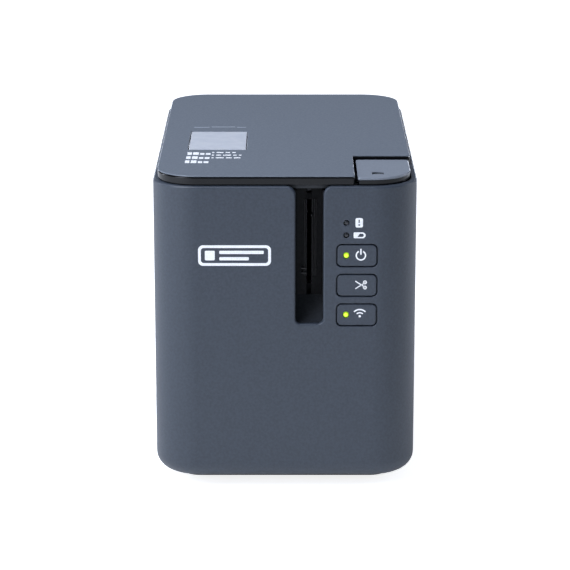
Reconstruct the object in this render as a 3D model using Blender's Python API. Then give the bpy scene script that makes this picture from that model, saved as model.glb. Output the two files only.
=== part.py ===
"""Desktop label printer with a hinged lid, in its separate pieces.

Sizes are in millimetres and become metres where a mesh is made. X points right, Y to the back and Z up.
The origin is on the table under the middle of the case.
"""

import math

import bmesh
import bpy
from mathutils import Vector

for old in list(bpy.data.objects):
    bpy.data.objects.remove(old, do_unlink=True)

MM = 0.001
GAP = 0.3  # between pieces that touch
RUNNING_GAP = 0.3  # round a shaft or a pin

# Case
CASE_WIDTH = 118.0
CASE_DEPTH = 192.0
CASE_RADIUS = 20.0
CASE_BOTTOM = 5.5
HEIGHT = 146.0
CASE_TOP = HEIGHT - 4.5
WALL = 2.5
BOTTOM_FILLET = 4.0
TOP_FILLET = 1.0
FLANGE_THICKNESS = 2.5
FLANGE_INSET = 15.0
HALF_X = CASE_WIDTH / 2
HALF_Y = CASE_DEPTH / 2
FRONT_Y = -HALF_Y
BACK_Y = HALF_Y
PARTING_Y = BACK_Y - 26.0

# Middle of the printed tape, which everything on its path lines up with
TAPE_X = 10.8

# Base
BASE_INSET = 12.0
BASE_THICKNESS = 2.2
BASE_BOTTOM = CASE_BOTTOM - GAP - BASE_THICKNESS
FOOT_RADIUS = 6.0
FOOT_X = HALF_X - 21.0
FOOT_FRONT_Y = FRONT_Y + 28.0
FOOT_REAR_Y = BACK_Y - 24.0
BASE_SCREW_X = HALF_X - 22.0
BASE_SCREW_FRONT_Y = FRONT_Y + 52.0
BASE_SCREW_REAR_Y = BACK_Y - 42.0
BASE_BOSS_RADIUS = 4.5
SCREW_RADIUS = 1.4
SCREW_HEAD_RADIUS = 2.9
SCREW_HEAD_HEIGHT = 2.0
SCREW_SEAT_Z = 8.5

# Label slot and its chute
SLOT_CENTRE_X = TAPE_X
SLOT_WIDTH = 12.4
SLOT_BOTTOM = CASE_TOP - 62.9
SLOT_CORNER = 2.5
SLOT_FLARE = 4.0
CHUTE_WALL = 2.5
CHUTE_DEPTH = 14.2
CHUTE_TOP = CASE_TOP - 2.5
CHUTE_SLIT = 1.8
RAMP_RISE = 9.5

# Buttons and lamps
BUTTON_X = 31.9
BUTTON_WIDTH = 17.4
BUTTON_HEIGHT = 9.7
BUTTON_CORNER = 2.0
BUTTON_PITCH = 13.65
BUTTON_TOP_Z = CASE_TOP - 31.3
BUTTON_CLEARANCE = 0.5
BUTTON_RECESS = 0.2
BUTTON_FLANGE = 1.2
BUTTON_TRAVEL = 0.8
LAMP_X = 27.15
LAMP_RADIUS = 1.0
BUTTON_LAMP_RADIUS = 1.2
TAPE_LAMP_Z = BUTTON_TOP_Z + 14.95
BATTERY_LAMP_Z = BUTTON_TOP_Z + 9.3

# Lid
LID_INSET = 2.0
LID_NOTCH_X = HALF_X - 28.6
LID_NOTCH_Y = FRONT_Y + 44.0
LID_GAP = 0.2
LID_RIM = 1.7
LID_EDGE = 0.5  # visible edge of the cover
COVER_PLATE = 1.6
LINER_THICKNESS = 1.8
LINER_INSET = 5.0
LINER_BACK_Y = BACK_Y - 24.0
WINDOW_LEFT = -44.0
WINDOW_RIGHT = -18.5
WINDOW_FRONT = FRONT_Y + 57.0
WINDOW_BACK = WINDOW_FRONT + 39.9
WINDOW_LEDGE = 1.5
WINDOW_SINK = 0.7
HINGE_Y = BACK_Y - 5.0
HINGE_Z = CASE_TOP - 2.0
HINGE_RADIUS = 2.0
HINGE_PIN_RADIUS = 0.8
HINGE_X = HALF_X - 17.0
KNUCKLE_WIDTH = 5.0
BRACKET_WIDTH = 6.0
REAR_NOTCH_X = HALF_X - 9.5
REAR_LIP_BOTTOM = HINGE_Z - 2.5
REAR_NOTCH_Z = HINGE_Z - 3.0

# Release button and latch
LATCH_Z = CASE_TOP - 17.5
RELEASE_INSET = 3.0
RELEASE_LEFT = LID_NOTCH_X + 2.0
RELEASE_BACK = LID_NOTCH_Y - 4.3
RELEASE_TOP = HEIGHT - 1.0
RELEASE_BOTTOM = CASE_TOP - 0.5
RELEASE_STEM_X = HALF_X - 11.0
RELEASE_STEM_Y = FRONT_Y + 25.0
RELEASE_STEM_RADIUS = 3.0
RELEASE_STEM_BOTTOM = LATCH_Z + 1.7
SPRING_RADIUS = 4.5
SPRING_WIRE = 0.45
SPRING_TURNS = 4
WELL_RADIUS = 7.0
WELL_INNER = 5.6
WELL_BOTTOM = LATCH_Z + 4.0
LATCH_X = RELEASE_STEM_X - 11.0
LATCH_WIDTH = 8.0
PIN_RADIUS = 1.5
HOOK_X = LATCH_X - 10.0
HOOK_THICKNESS = 2.4
HOOK_NOSE = 2.0
HOOK_BOTTOM = LATCH_Z + 4.0

# Deck and bay
DECK_TOP = CASE_TOP - 3.3
DECK_THICKNESS = 2.4
DECK_INSET = WALL + 0.4
DECK_BACK_Y = BACK_Y - 10.0
BAY_LEFT = -51.0
BAY_RIGHT = 12.0
BAY_FRONT = FRONT_Y + 48.0
BAY_BACK = BAY_FRONT + 89.0
BAY_FLOOR = DECK_TOP - 46.2
BAY_WALL = 2.0
ROLLER_BAY_RIGHT = 32.0
ROLLER_BAY_FRONT = FRONT_Y + 44.0
ROLLER_BAY_BACK = ROLLER_BAY_FRONT + 35.0

# Chassis and drive
CHASSIS_HALF_X = HALF_X - 9.0
CHASSIS_FRONT = FRONT_Y + 42.0
CHASSIS_BACK = BACK_Y - 16.4
CHASSIS_BOTTOM = 14.0
CHASSIS_TOP = BAY_FLOOR - 16.3
SHEET = 1.6
DRIVE_PLATE_THICKNESS = 1.4
DRIVE_PLATE_FRONT = FRONT_Y + 39.0
DRIVE_PLATE_BACK = DRIVE_PLATE_FRONT + 87.0
GEAR_MODULE = 0.8
GEAR_FACE = 5.0
GEAR_PLAY = 0.15
PLATEN_X = TAPE_X + 5.4
PLATEN_Y = BAY_FRONT + 15.0
PLATEN_RADIUS = 5.2
PLATEN_TEETH = 14
IDLER_TEETH = 20
REDUCTION_TEETH = 36
RIBBON_TEETH = 16
PINION_TEETH = 10
PINION_ANGLE = 90.0
RIBBON_SPINDLE_RADIUS = 2.6
RIBBON_SPINDLE_TOP = BAY_FLOOR + 26.0
SHAFT_RADIUS = 1.5
HOLDER_PIVOT_X = PLATEN_X + 3.8
HOLDER_BACK_X = PLATEN_X + 7.8
HOLDER_BOSS_RADIUS = 3.2
HOLDER_PIVOT_Y = PLATEN_Y - 15.0
HOLDER_BOTTOM = BAY_FLOOR + 2.0
HOLDER_TOP = HOLDER_BOTTOM + 40.0
ARM_THICKNESS = 2.0
HEAD_FACE_X = TAPE_X - 0.2
HEAD_THICKNESS = 3.0
HEAD_HOLDER_THICKNESS = 3.4
HEAD_FRONT = PLATEN_Y - 9.0
HEAD_BACK = PLATEN_Y + 8.0
HEAD_TOP = HOLDER_TOP - 1.0
MOTOR_RADIUS = 12.0
MOTOR_LENGTH = 30.0

# Cutter
BLADE_FRONT_Y = FRONT_Y + 17.6
BLADE_THICKNESS = 1.2
BLADE_PIVOT_X = TAPE_X + 1.2
BLADE_PIVOT_Z = CHASSIS_TOP + 6.3
BLADE_REST_ANGLE = 12.0
BLADE_LENGTH = 52.0
CUTTER_MOTOR_RADIUS = 7.0
CUTTER_MOTOR_LENGTH = 15.0
CUTTER_FRAME_TOP = CASE_TOP - 7.5
CAM_X = 30.0
CAM_RADIUS = 4.5
CAM_RISE = 4.35
CAM_SWEEP = 120.0
CAM_CLEARANCE = 0.6

# Boards and sockets
BOARD_THICKNESS = 1.6
BOARD_HALF_X = CHASSIS_HALF_X - 4.0
BOARD_BOTTOM = 18.0
BOARD_TOP = CHASSIS_TOP - 5.7
SOCKET_Z = 36.0
SOCKET_CLEARANCE = 0.4
PANEL_BOARD_BOTTOM = BUTTON_TOP_Z - 37.2
PANEL_BOARD_TOP = BUTTON_TOP_Z + 19.8
PANEL_BOARD_Y = FRONT_Y + 8.4
SWITCH_SIZE = 6.0
PANEL_BOSS_X = 45.0
PANEL_BOARD_RIGHT = PANEL_BOSS_X + 5.0
PANEL_BOSS_RADIUS = 2.5

# Cassette
CASSETTE_RIGHT = TAPE_X - 0.4
CASSETTE_HEIGHT = 42.2
CASSETTE_NOTCH_X = 2.2
CASSETTE_NOTCH_MARGIN = 2.5
CASSETTE_LABEL = 0.5
CASSETTE_HUB_RADIUS = 13.0

CORNER_STEPS = 8


# Shapes: each is a list of points and a list of faces


def rounded_polygon(corners, steps=CORNER_STEPS):
    """Closed outline, anticlockwise, through corners given as (x, y, fillet radius)."""
    points = []
    for index, (x, y, radius) in enumerate(corners):
        here = Vector((x, y))
        back = (Vector(corners[index - 1][:2]) - here).normalized()
        ahead = (Vector(corners[(index + 1) % len(corners)][:2]) - here).normalized()
        if radius <= 0:
            points.append((x, y))
            continue
        half = back.angle(ahead) / 2
        centre = here + (back + ahead).normalized() * radius / math.sin(half)
        start = here + back * radius / math.tan(half) - centre
        end = here + ahead * radius / math.tan(half) - centre
        first = math.atan2(start.y, start.x)
        turn = math.remainder(math.atan2(end.y, end.x) - first, 2 * math.pi)
        for step in range(steps + 1):
            angle = first + turn * step / steps
            points.append((centre.x + radius * math.cos(angle), centre.y + radius * math.sin(angle)))
    return points


def circle(x, y, radius, sides=24):
    angles = [2 * math.pi * side / sides for side in range(sides)]
    return [(x + radius * math.cos(a), y + radius * math.sin(a)) for a in angles]


def loft(rings):
    """Closed solid through rings of 3-D points, all with the same number of points."""
    count = len(rings[0])
    points = [point for ring in rings for point in ring]
    faces = [tuple(reversed(range(count)))]
    for level in range(len(rings) - 1):
        low = level * count
        for k in range(count):
            after = (k + 1) % count
            faces.append((low + k, low + after, low + count + after, low + count + k))
    faces.append(tuple(range(len(points) - count, len(points))))
    return points, faces


def prism(outline, low, high, axis="Z"):
    """Outline pushed along an axis: given as (x, y) for Z, (x, z) for Y and (y, z) for X."""
    place = {
        "Z": lambda p, level: (p[0], p[1], level),
        "Y": lambda p, level: (p[0], level, p[1]),
        "X": lambda p, level: (level, p[0], p[1]),
    }[axis]
    return loft([[place(p, level) for p in outline] for level in (low, high)])


def block(x, y, z):
    """Box between pairs of limits."""
    return prism([(x[0], y[0]), (x[1], y[0]), (x[1], y[1]), (x[0], y[1])], z[0], z[1])


def rod(a, b, radius, low, high, axis="Z", sides=24):
    return prism(circle(a, b, radius, sides), low, high, axis)


def stack(outline_at, levels):
    """Solid from (z, inset) levels of an outline that takes an inset."""
    return loft([[(x, y, z) for x, y in outline_at(inset)] for z, inset in levels])


def fillet_levels(edge_z, inset, radius, upward, steps=4):
    """(z, inset) levels of a quarter round that ends at edge_z: a top edge if upward, else a bottom edge."""
    levels = []
    for step in range(steps + 1):
        angle = math.pi / 2 * step / steps
        if upward:
            levels.append((edge_z - radius + radius * math.sin(angle), inset + radius * (1 - math.cos(angle))))
        else:
            levels.append((edge_z + radius * (1 - math.cos(angle)), inset + radius * (1 - math.sin(angle))))
    return levels


# Outlines in plan


def case_outline(inset):
    x, y, radius = HALF_X - inset, HALF_Y - inset, CASE_RADIUS - inset
    return rounded_polygon([(-x, -y, radius), (x, -y, radius), (x, y, radius), (-x, y, radius)])


def base_outline(inset):
    x, y, radius = HALF_X - inset, HALF_Y - inset, max(CASE_RADIUS - inset, 3.0)
    return rounded_polygon([(-x, -y, radius), (x, -y, radius), (x, y, radius), (-x, y, radius)])


def lid_outline(inset):
    """Case outline without the corner that the release button fills."""
    x, y, radius = HALF_X - inset, HALF_Y - inset, CASE_RADIUS - inset
    notch_x, notch_y = LID_NOTCH_X - (inset - LID_INSET), LID_NOTCH_Y + (inset - LID_INSET)
    inner = 1.5 + (inset - LID_INSET)
    return rounded_polygon(
        [
            (-x, -y, radius),
            (notch_x, -y, 1.0),
            (notch_x, notch_y, inner),
            (x, notch_y, 1.0),
            (x, y, radius),
            (-x, y, radius),
        ]
    )


def release_outline(inset):
    x, y, radius = HALF_X - inset, HALF_Y - inset, CASE_RADIUS - inset
    left, back = RELEASE_LEFT + (inset - RELEASE_INSET), RELEASE_BACK - (inset - RELEASE_INSET)
    return rounded_polygon([(left, -y, 1.2), (x, -y, radius), (x, back, 1.2), (left, back, 1.2)])


# Objects


def material(name, red, green, blue, roughness, metallic=0.0):
    made = bpy.data.materials.new(name)
    made.use_nodes = True
    shader = made.node_tree.nodes["Principled BSDF"]
    shader.inputs["Base Color"].default_value = (red, green, blue, 1.0)
    shader.inputs["Roughness"].default_value = roughness
    shader.inputs["Metallic"].default_value = metallic
    return made


case_grey = material("case_grey", 0.062, 0.078, 0.109, 0.6)
lid_grey = material("lid_grey", 0.175, 0.205, 0.255, 0.55)
gloss_black = material("gloss_black", 0.012, 0.013, 0.016, 0.15)
matt_black = material("matt_black", 0.015, 0.016, 0.018, 0.5)
clear_pane = material("clear_pane", 0.5, 0.56, 0.65, 0.1)
lamp_green = material("lamp_green", 0.45, 0.75, 0.02, 0.3)
lamp_dark = material("lamp_dark", 0.01, 0.01, 0.012, 0.3)
steel = material("steel", 0.55, 0.56, 0.57, 0.35, 1.0)
aluminium = material("aluminium", 0.72, 0.73, 0.74, 0.4, 1.0)
gear_white = material("gear_white", 0.75, 0.74, 0.7, 0.45)
rubber = material("rubber", 0.02, 0.02, 0.02, 0.8)
board_green = material("board_green", 0.02, 0.14, 0.06, 0.4)
cassette_grey = material("cassette_grey", 0.3, 0.31, 0.33, 0.45)
paper_white = material("paper_white", 0.78, 0.8, 0.84, 0.6)
ceramic_white = material("ceramic_white", 0.8, 0.79, 0.75, 0.3)


def mesh_object(name, shape, origin):
    points, faces = shape
    mesh = bpy.data.meshes.new(name)
    mesh.from_pydata([(Vector(p) - Vector(origin)) * MM for p in points], [], faces)
    work = bmesh.new()
    work.from_mesh(mesh)
    bmesh.ops.recalc_face_normals(work, faces=work.faces)
    work.to_mesh(mesh)
    work.free()
    made = bpy.data.objects.new(name, mesh)
    bpy.context.scene.collection.objects.link(made)
    made.location = Vector(origin) * MM
    return made


def boolean(made, operation, tools, origin):
    for number, tool in enumerate(tools):
        helper = mesh_object(f"{made.name}_{operation.lower()}_{number}", tool, origin)
        helper.hide_render = True
        helper.display_type = "WIRE"
        step = made.modifiers.new(helper.name, "BOOLEAN")
        step.operation = operation
        step.solver = "EXACT"
        step.object = helper


def piece(name, finish, shape, add=(), cut=(), late=(), origin=(0, 0, 0)):
    """One sub-part: a shape with others joined to it, others taken out, and late ones joined after that."""
    made = mesh_object(name, shape, origin)
    made.data.materials.append(finish)
    boolean(made, "UNION", add, origin)
    boolean(made, "DIFFERENCE", cut, origin)
    boolean(made, "UNION", late, origin)
    made.data.shade_smooth()
    made.data.set_sharp_from_angle(angle=math.radians(30))
    return made


# Case


def case_walls():
    """Tube of the case walls with its bottom flange: solid, then the hollows to cut."""
    outer = fillet_levels(CASE_BOTTOM, 0, BOTTOM_FILLET, upward=False)
    outer += fillet_levels(CASE_TOP, 0, TOP_FILLET, upward=True)
    flange_top = CASE_BOTTOM + FLANGE_THICKNESS
    mouth = stack(base_outline, [(CASE_BOTTOM - 1, FLANGE_INSET), (flange_top + 1, FLANGE_INSET)])
    hollow = stack(case_outline, [(flange_top, WALL), (CASE_TOP + 1, WALL)])
    return stack(case_outline, outer), [hollow, mouth]


def everything_behind(y):
    return block((-HALF_X - 1, HALF_X + 1), (y, BACK_Y + 1), (0, HEIGHT))


def everything_before(y):
    return block((-HALF_X - 1, HALF_X + 1), (FRONT_Y - 1, y), (0, HEIGHT))


def button_z(row):
    return BUTTON_TOP_Z - row * BUTTON_PITCH


def rounded_box(x, z, width, height, radius, low_y, high_y):
    """Plate facing the front, with round corners."""
    a, b = width / 2, height / 2
    corners = [(x - a, z - b, radius), (x + a, z - b, radius), (x + a, z + b, radius), (x - a, z + b, radius)]
    return prism(rounded_polygon(corners, 4), low_y, high_y, "Y")


def slot_outline():
    left, right = SLOT_CENTRE_X - SLOT_WIDTH / 2, SLOT_CENTRE_X + SLOT_WIDTH / 2
    return rounded_polygon(
        [
            (left, SLOT_BOTTOM, SLOT_CORNER),
            (right, SLOT_BOTTOM, SLOT_CORNER),
            (right, CASE_TOP, SLOT_FLARE),
            (right + SLOT_FLARE + 0.01, CASE_TOP, 0),
            (right + SLOT_FLARE + 0.01, CASE_TOP + 1, 0),
            (left - SLOT_FLARE - 0.01, CASE_TOP + 1, 0),
            (left - SLOT_FLARE - 0.01, CASE_TOP, 0),
            (left, CASE_TOP, SLOT_FLARE),
        ]
    )


inner_front_y = FRONT_Y + WALL
panel_boss_z = (PANEL_BOARD_BOTTOM + 3, PANEL_BOARD_TOP - 3)

walls, hollows = case_walls()
front_cuts = hollows + [everything_behind(PARTING_Y), prism(slot_outline(), FRONT_Y - 1, inner_front_y + 0.5, "Y")]
for row in range(3):
    opening = (BUTTON_WIDTH + 2 * BUTTON_CLEARANCE, BUTTON_HEIGHT + 2 * BUTTON_CLEARANCE)
    corner = BUTTON_CORNER + BUTTON_CLEARANCE
    front_cuts.append(rounded_box(BUTTON_X, button_z(row), *opening, corner, FRONT_Y - 1, inner_front_y + 1))
for lamp_z in (TAPE_LAMP_Z, BATTERY_LAMP_Z):
    front_cuts.append(rod(LAMP_X, lamp_z, LAMP_RADIUS + GAP, FRONT_Y - 1, inner_front_y + 1, "Y", 16))
panel_bosses = [
    rod(PANEL_BOSS_X, z, PANEL_BOSS_RADIUS, inner_front_y - 0.4, PANEL_BOARD_Y - GAP, "Y", 16) for z in panel_boss_z
]
piece("front_case", case_grey, walls, cut=front_cuts, late=panel_bosses)

# Middle x, width and height of each socket
socket_sizes = {
    "power_inlet": (-30.0, 11.0, 11.0),
    "computer_socket": (-4.0, 12.0, 11.0),
    "serial_socket": (22.0, 14.0, 12.0),
}

rear_cuts = hollows + [everything_before(PARTING_Y + GAP)]
rear_cuts.append(block((-REAR_NOTCH_X, REAR_NOTCH_X), (BACK_Y - WALL - 8, BACK_Y + 1), (REAR_NOTCH_Z, CASE_TOP + 1)))
for x, width, height in socket_sizes.values():
    half = width / 2 + SOCKET_CLEARANCE
    tall = height / 2 + SOCKET_CLEARANCE
    rear_cuts.append(block((x - half, x + half), (BACK_Y - WALL - 1, BACK_Y + 1), (SOCKET_Z - tall, SOCKET_Z + tall)))
piece("rear_cover", case_grey, walls, cut=rear_cuts)

# Base

screw_places = [(x, y) for y in (BASE_SCREW_FRONT_Y, BASE_SCREW_REAR_Y) for x in (-BASE_SCREW_X, BASE_SCREW_X)]
base_top = BASE_BOTTOM + BASE_THICKNESS
base_levels = [(BASE_BOTTOM, BASE_INSET), (base_top, BASE_INSET)]
base_bosses = [rod(x, y, BASE_BOSS_RADIUS, BASE_BOTTOM + 1, CHASSIS_BOTTOM - GAP) for x, y in screw_places]
base_holes = [rod(x, y, SCREW_HEAD_RADIUS + GAP, BASE_BOTTOM - 1, SCREW_SEAT_Z) for x, y in screw_places]
base_holes += [rod(x, y, SCREW_RADIUS + GAP, SCREW_SEAT_Z - 1, CHASSIS_BOTTOM, sides=16) for x, y in screw_places]
piece("base_plate", matt_black, stack(base_outline, base_levels), add=base_bosses, cut=base_holes)

for number, (x, y) in enumerate(screw_places, 1):
    head_top = SCREW_SEAT_Z - GAP
    head = rod(x, y, SCREW_HEAD_RADIUS, head_top - SCREW_HEAD_HEIGHT, head_top, sides=20)
    shank = rod(x, y, SCREW_RADIUS, head_top - 0.5, CHASSIS_BOTTOM + SHEET + 3, sides=16)
    drive = rod(x, y, 1.1, head_top - SCREW_HEAD_HEIGHT - 1, head_top - 0.8, sides=6)
    piece(f"base_screw_{number}", steel, head, add=[shank], cut=[drive])

foot_places = [(x, y) for y in (FOOT_FRONT_Y, FOOT_REAR_Y) for x in (-FOOT_X, FOOT_X)]
for number, (x, y) in enumerate(foot_places, 1):
    foot_levels = [(0, FOOT_RADIUS - 0.4), (0.4, FOOT_RADIUS), (BASE_BOTTOM - GAP, FOOT_RADIUS)]
    rings = [[(px, py, z) for px, py in circle(x, y, radius)] for z, radius in foot_levels]
    piece(f"foot_{number}", rubber, loft(rings))

# Upper deck with the cassette bay

ribbon_distance = GEAR_MODULE * (IDLER_TEETH + RIBBON_TEETH) / 2 + GEAR_PLAY
idler_x = PLATEN_X - GEAR_MODULE * (PLATEN_TEETH + IDLER_TEETH) / 2 - GEAR_PLAY
idler_y = PLATEN_Y
ribbon_x, ribbon_y = idler_x, idler_y + ribbon_distance
reduction_x = idler_x - GEAR_MODULE * (IDLER_TEETH + REDUCTION_TEETH) / 2 - GEAR_PLAY
reduction_y = idler_y
pinion_distance = GEAR_MODULE * (REDUCTION_TEETH + PINION_TEETH) / 2 + GEAR_PLAY
pinion_x = reduction_x + pinion_distance * math.cos(math.radians(PINION_ANGLE))
pinion_y = reduction_y + pinion_distance * math.sin(math.radians(PINION_ANGLE))

chute_half = SLOT_WIDTH / 2 - GAP + CHUTE_WALL
chute_front = inner_front_y + GAP
chute_back = chute_front + CHUTE_DEPTH
deck_bottom = DECK_TOP - DECK_THICKNESS
latch_y = (RELEASE_STEM_Y - LATCH_WIDTH / 2, RELEASE_STEM_Y + LATCH_WIDTH / 2)
rib_x = (LATCH_X - 3, LATCH_X + 3)
rib_ys = [(latch_y[0] - 2.5, latch_y[0] - 0.5), (latch_y[1] + 0.5, latch_y[1] + 2.5)]
hook_y = (latch_y[0] + 0.5, latch_y[1] - 0.5)
hook_right = HOOK_X + HOOK_THICKNESS
floor_z = (BAY_FLOOR - BAY_WALL, BAY_FLOOR)
above_floor = (BAY_FLOOR, CASE_TOP)


def grown(limits, by):
    return (limits[0] - by, limits[1] + by)


bay_x, bay_y = (BAY_LEFT, BAY_RIGHT), (BAY_FRONT, BAY_BACK)
roller_bay_x = (BAY_RIGHT - BAY_WALL, ROLLER_BAY_RIGHT)
roller_bay_y = (ROLLER_BAY_FRONT, ROLLER_BAY_BACK)
tub_z = (floor_z[0], deck_bottom + 1)
deck_add = [
    block(grown(bay_x, BAY_WALL), grown(bay_y, BAY_WALL), tub_z),
    block(grown(roller_bay_x, BAY_WALL), grown(roller_bay_y, BAY_WALL), tub_z),
    rod(RELEASE_STEM_X, RELEASE_STEM_Y, WELL_RADIUS, WELL_BOTTOM, deck_bottom + 1, sides=32),
]
deck_add += [block(rib_x, y, (LATCH_Z - 3, deck_bottom + 1)) for y in rib_ys]
deck_cut = [
    everything_behind(DECK_BACK_Y),
    block(bay_x, bay_y, above_floor),
    block(roller_bay_x, roller_bay_y, above_floor),
    block((TAPE_X - 2, TAPE_X + 2), (ROLLER_BAY_FRONT - BAY_WALL - 1, ROLLER_BAY_FRONT + 5), (BAY_FLOOR, deck_bottom)),
    block(
        (SLOT_CENTRE_X - chute_half - GAP, SLOT_CENTRE_X + chute_half + GAP),
        (FRONT_Y, chute_back + GAP),
        (deck_bottom - 1, CASE_TOP),
    ),
    block((HOOK_X - 0.8, LATCH_X - 0.5), grown(hook_y, 0.6), (deck_bottom - 1, CASE_TOP)),
    rod(RELEASE_STEM_X, RELEASE_STEM_Y, WELL_INNER, WELL_BOTTOM + 1.5, CASE_TOP, sides=32),
    rod(RELEASE_STEM_X, RELEASE_STEM_Y, RELEASE_STEM_RADIUS + 0.4, WELL_BOTTOM - 1, CASE_TOP),
    rod(LATCH_X, LATCH_Z, PIN_RADIUS + RUNNING_GAP, rib_ys[0][0] - 1, rib_ys[1][1] + 1, "Y"),
    rod(PLATEN_X + 0.8, PLATEN_Y + 0.4, SHAFT_RADIUS + 2.4, BAY_FLOOR - BAY_WALL - 1, BAY_FLOOR + 1),
    rod(ribbon_x, ribbon_y, RIBBON_SPINDLE_RADIUS + 0.4, BAY_FLOOR - BAY_WALL - 1, BAY_FLOOR + 1),
    rod(HOLDER_PIVOT_X, HOLDER_PIVOT_Y, PIN_RADIUS + RUNNING_GAP, BAY_FLOOR - BAY_WALL - 1, BAY_FLOOR + 1),
]
deck_levels = [(deck_bottom, DECK_INSET), (DECK_TOP, DECK_INSET)]
piece("upper_deck", matt_black, stack(case_outline, deck_levels), add=deck_add, cut=deck_cut)

# Label chute, the black inside of the slot

chute_bottom = SLOT_BOTTOM - CHUTE_WALL
chute_left, chute_right = SLOT_CENTRE_X - chute_half, SLOT_CENTRE_X + chute_half
inner_left, inner_right = chute_left + CHUTE_WALL, chute_right - CHUTE_WALL
ramp = [
    (chute_front - 1, SLOT_BOTTOM),
    (chute_back - CHUTE_WALL, SLOT_BOTTOM + RAMP_RISE),
    (chute_back - CHUTE_WALL, CASE_TOP),
    (chute_front - 1, CASE_TOP),
]
slit = (TAPE_X - CHUTE_SLIT / 2, TAPE_X + CHUTE_SLIT / 2)
piece(
    "label_chute",
    matt_black,
    block((chute_left, chute_right), (chute_front, chute_back), (chute_bottom, CHUTE_TOP)),
    cut=[
        prism(ramp, inner_left, inner_right, "X"),
        block(slit, (chute_back - CHUTE_WALL - 1, chute_back + 1), (SLOT_BOTTOM + RAMP_RISE, CASE_TOP)),
    ],
)

# Lid

cover_bottom = HEIGHT - LID_EDGE - COVER_PLATE
frame_top = HEIGHT - LID_EDGE - GAP
frame_bottom = CASE_TOP + LID_GAP
pocket_floor = cover_bottom - GAP
lid_origin = (0, HINGE_Y, HINGE_Z)
window_x, window_y = (WINDOW_LEFT, WINDOW_RIGHT), (WINDOW_FRONT, WINDOW_BACK)
sight_x, sight_y = grown(window_x, -WINDOW_LEDGE), grown(window_y, -WINDOW_LEDGE)
bracket_x = (HINGE_X, HINGE_X + BRACKET_WIDTH)
knuckle_x = (HINGE_X - GAP - KNUCKLE_WIDTH, HINGE_X - GAP)


def mirrored(limits):
    return (-limits[1], -limits[0])


def knuckle(x):
    """Barrel under the lid, with its neck."""
    neck = block(x, (HINGE_Y - HINGE_RADIUS, HINGE_Y + HINGE_RADIUS), (HINGE_Z, frame_bottom + 1))
    return [rod(HINGE_Y, HINGE_Z, HINGE_RADIUS, *x, "X"), neck]


pin_hole = rod(HINGE_Y, HINGE_Z, HINGE_PIN_RADIUS + RUNNING_GAP, -HALF_X, HALF_X, "X", 16)
hook = [
    block((HOOK_X, hook_right), hook_y, (HOOK_BOTTOM, frame_bottom + 1)),
    block((hook_right - 0.5, hook_right + HOOK_NOSE), hook_y, (HOOK_BOTTOM, HOOK_BOTTOM + 2.4)),
]
rear_lip = block(
    (-knuckle_x[1], knuckle_x[1]),
    (HINGE_Y + 0.9, HINGE_Y + 2.5),
    (REAR_LIP_BOTTOM, frame_bottom + 1),
)
piece(
    "lid_frame",
    gloss_black,
    stack(lid_outline, [(frame_bottom, LID_INSET + 0.1), (frame_top, LID_INSET + 0.1)]),
    add=knuckle(knuckle_x) + knuckle(mirrored(knuckle_x)) + hook + [rear_lip],
    cut=[
        stack(lid_outline, [(pocket_floor, LID_INSET + LID_RIM), (HEIGHT + 1, LID_INSET + LID_RIM)]),
        block(sight_x, sight_y, (CASE_TOP - 5, HEIGHT + 1)),
        pin_hole,
    ],
    origin=lid_origin,
)
cover_inset = LID_INSET + LID_RIM + GAP
cover_edge = [(HEIGHT - LID_EDGE, LID_INSET)] + fillet_levels(HEIGHT, LID_INSET, LID_EDGE * 0.8, upward=True, steps=2)
piece(
    "lid_cover",
    lid_grey,
    stack(lid_outline, cover_edge),
    add=[stack(lid_outline, [(cover_bottom, cover_inset), (HEIGHT - 0.1, cover_inset)])],
    cut=[block(window_x, window_y, (CASE_TOP, HEIGHT + 1))],
    origin=lid_origin,
)
pane_z = (cover_bottom, HEIGHT - WINDOW_SINK)
piece("lid_window", clear_pane, block(grown(window_x, -0.4), grown(window_y, -0.4), pane_z), origin=lid_origin)
liner_top = frame_bottom - GAP
liner_levels = [(liner_top - LINER_THICKNESS, LINER_INSET), (liner_top, LINER_INSET)]
piece(
    "lid_liner",
    matt_black,
    stack(lid_outline, liner_levels),
    cut=[
        everything_behind(LINER_BACK_Y),
        block(sight_x, sight_y, (CASE_TOP - 5, HEIGHT)),
        block((HOOK_X - GAP, LATCH_X), grown(hook_y, GAP), (CASE_TOP - 5, HEIGHT)),
    ],
    origin=lid_origin,
)

for side, limits, knuckle_limits in (
    ("left", mirrored(bracket_x), mirrored(knuckle_x)),
    ("right", bracket_x, knuckle_x),
):
    bracket_foot = block(limits, (HINGE_Y - 15, HINGE_Y), (DECK_TOP + GAP, HINGE_Z + HINGE_RADIUS - 0.8))
    barrel = rod(HINGE_Y, HINGE_Z, HINGE_RADIUS, *limits, "X")
    both = (min(limits[0], knuckle_limits[0]), max(limits[1], knuckle_limits[1]))
    stub_pin = rod(HINGE_Y, HINGE_Z, HINGE_PIN_RADIUS, *both, "X", 12)
    piece(f"hinge_bracket_{side}", steel, bracket_foot, add=[barrel, stub_pin])

# Release button, its spring and the latch

release_levels = [(RELEASE_BOTTOM, RELEASE_INSET)] + fillet_levels(RELEASE_TOP, RELEASE_INSET, 0.6, upward=True, steps=3)
stem_xy = (RELEASE_STEM_X, RELEASE_STEM_Y)
piece(
    "release_button",
    lid_grey,
    stack(release_outline, release_levels),
    add=[rod(*stem_xy, RELEASE_STEM_RADIUS, RELEASE_STEM_BOTTOM, RELEASE_BOTTOM + 1)],
    origin=(*stem_xy, RELEASE_BOTTOM),
)


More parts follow.
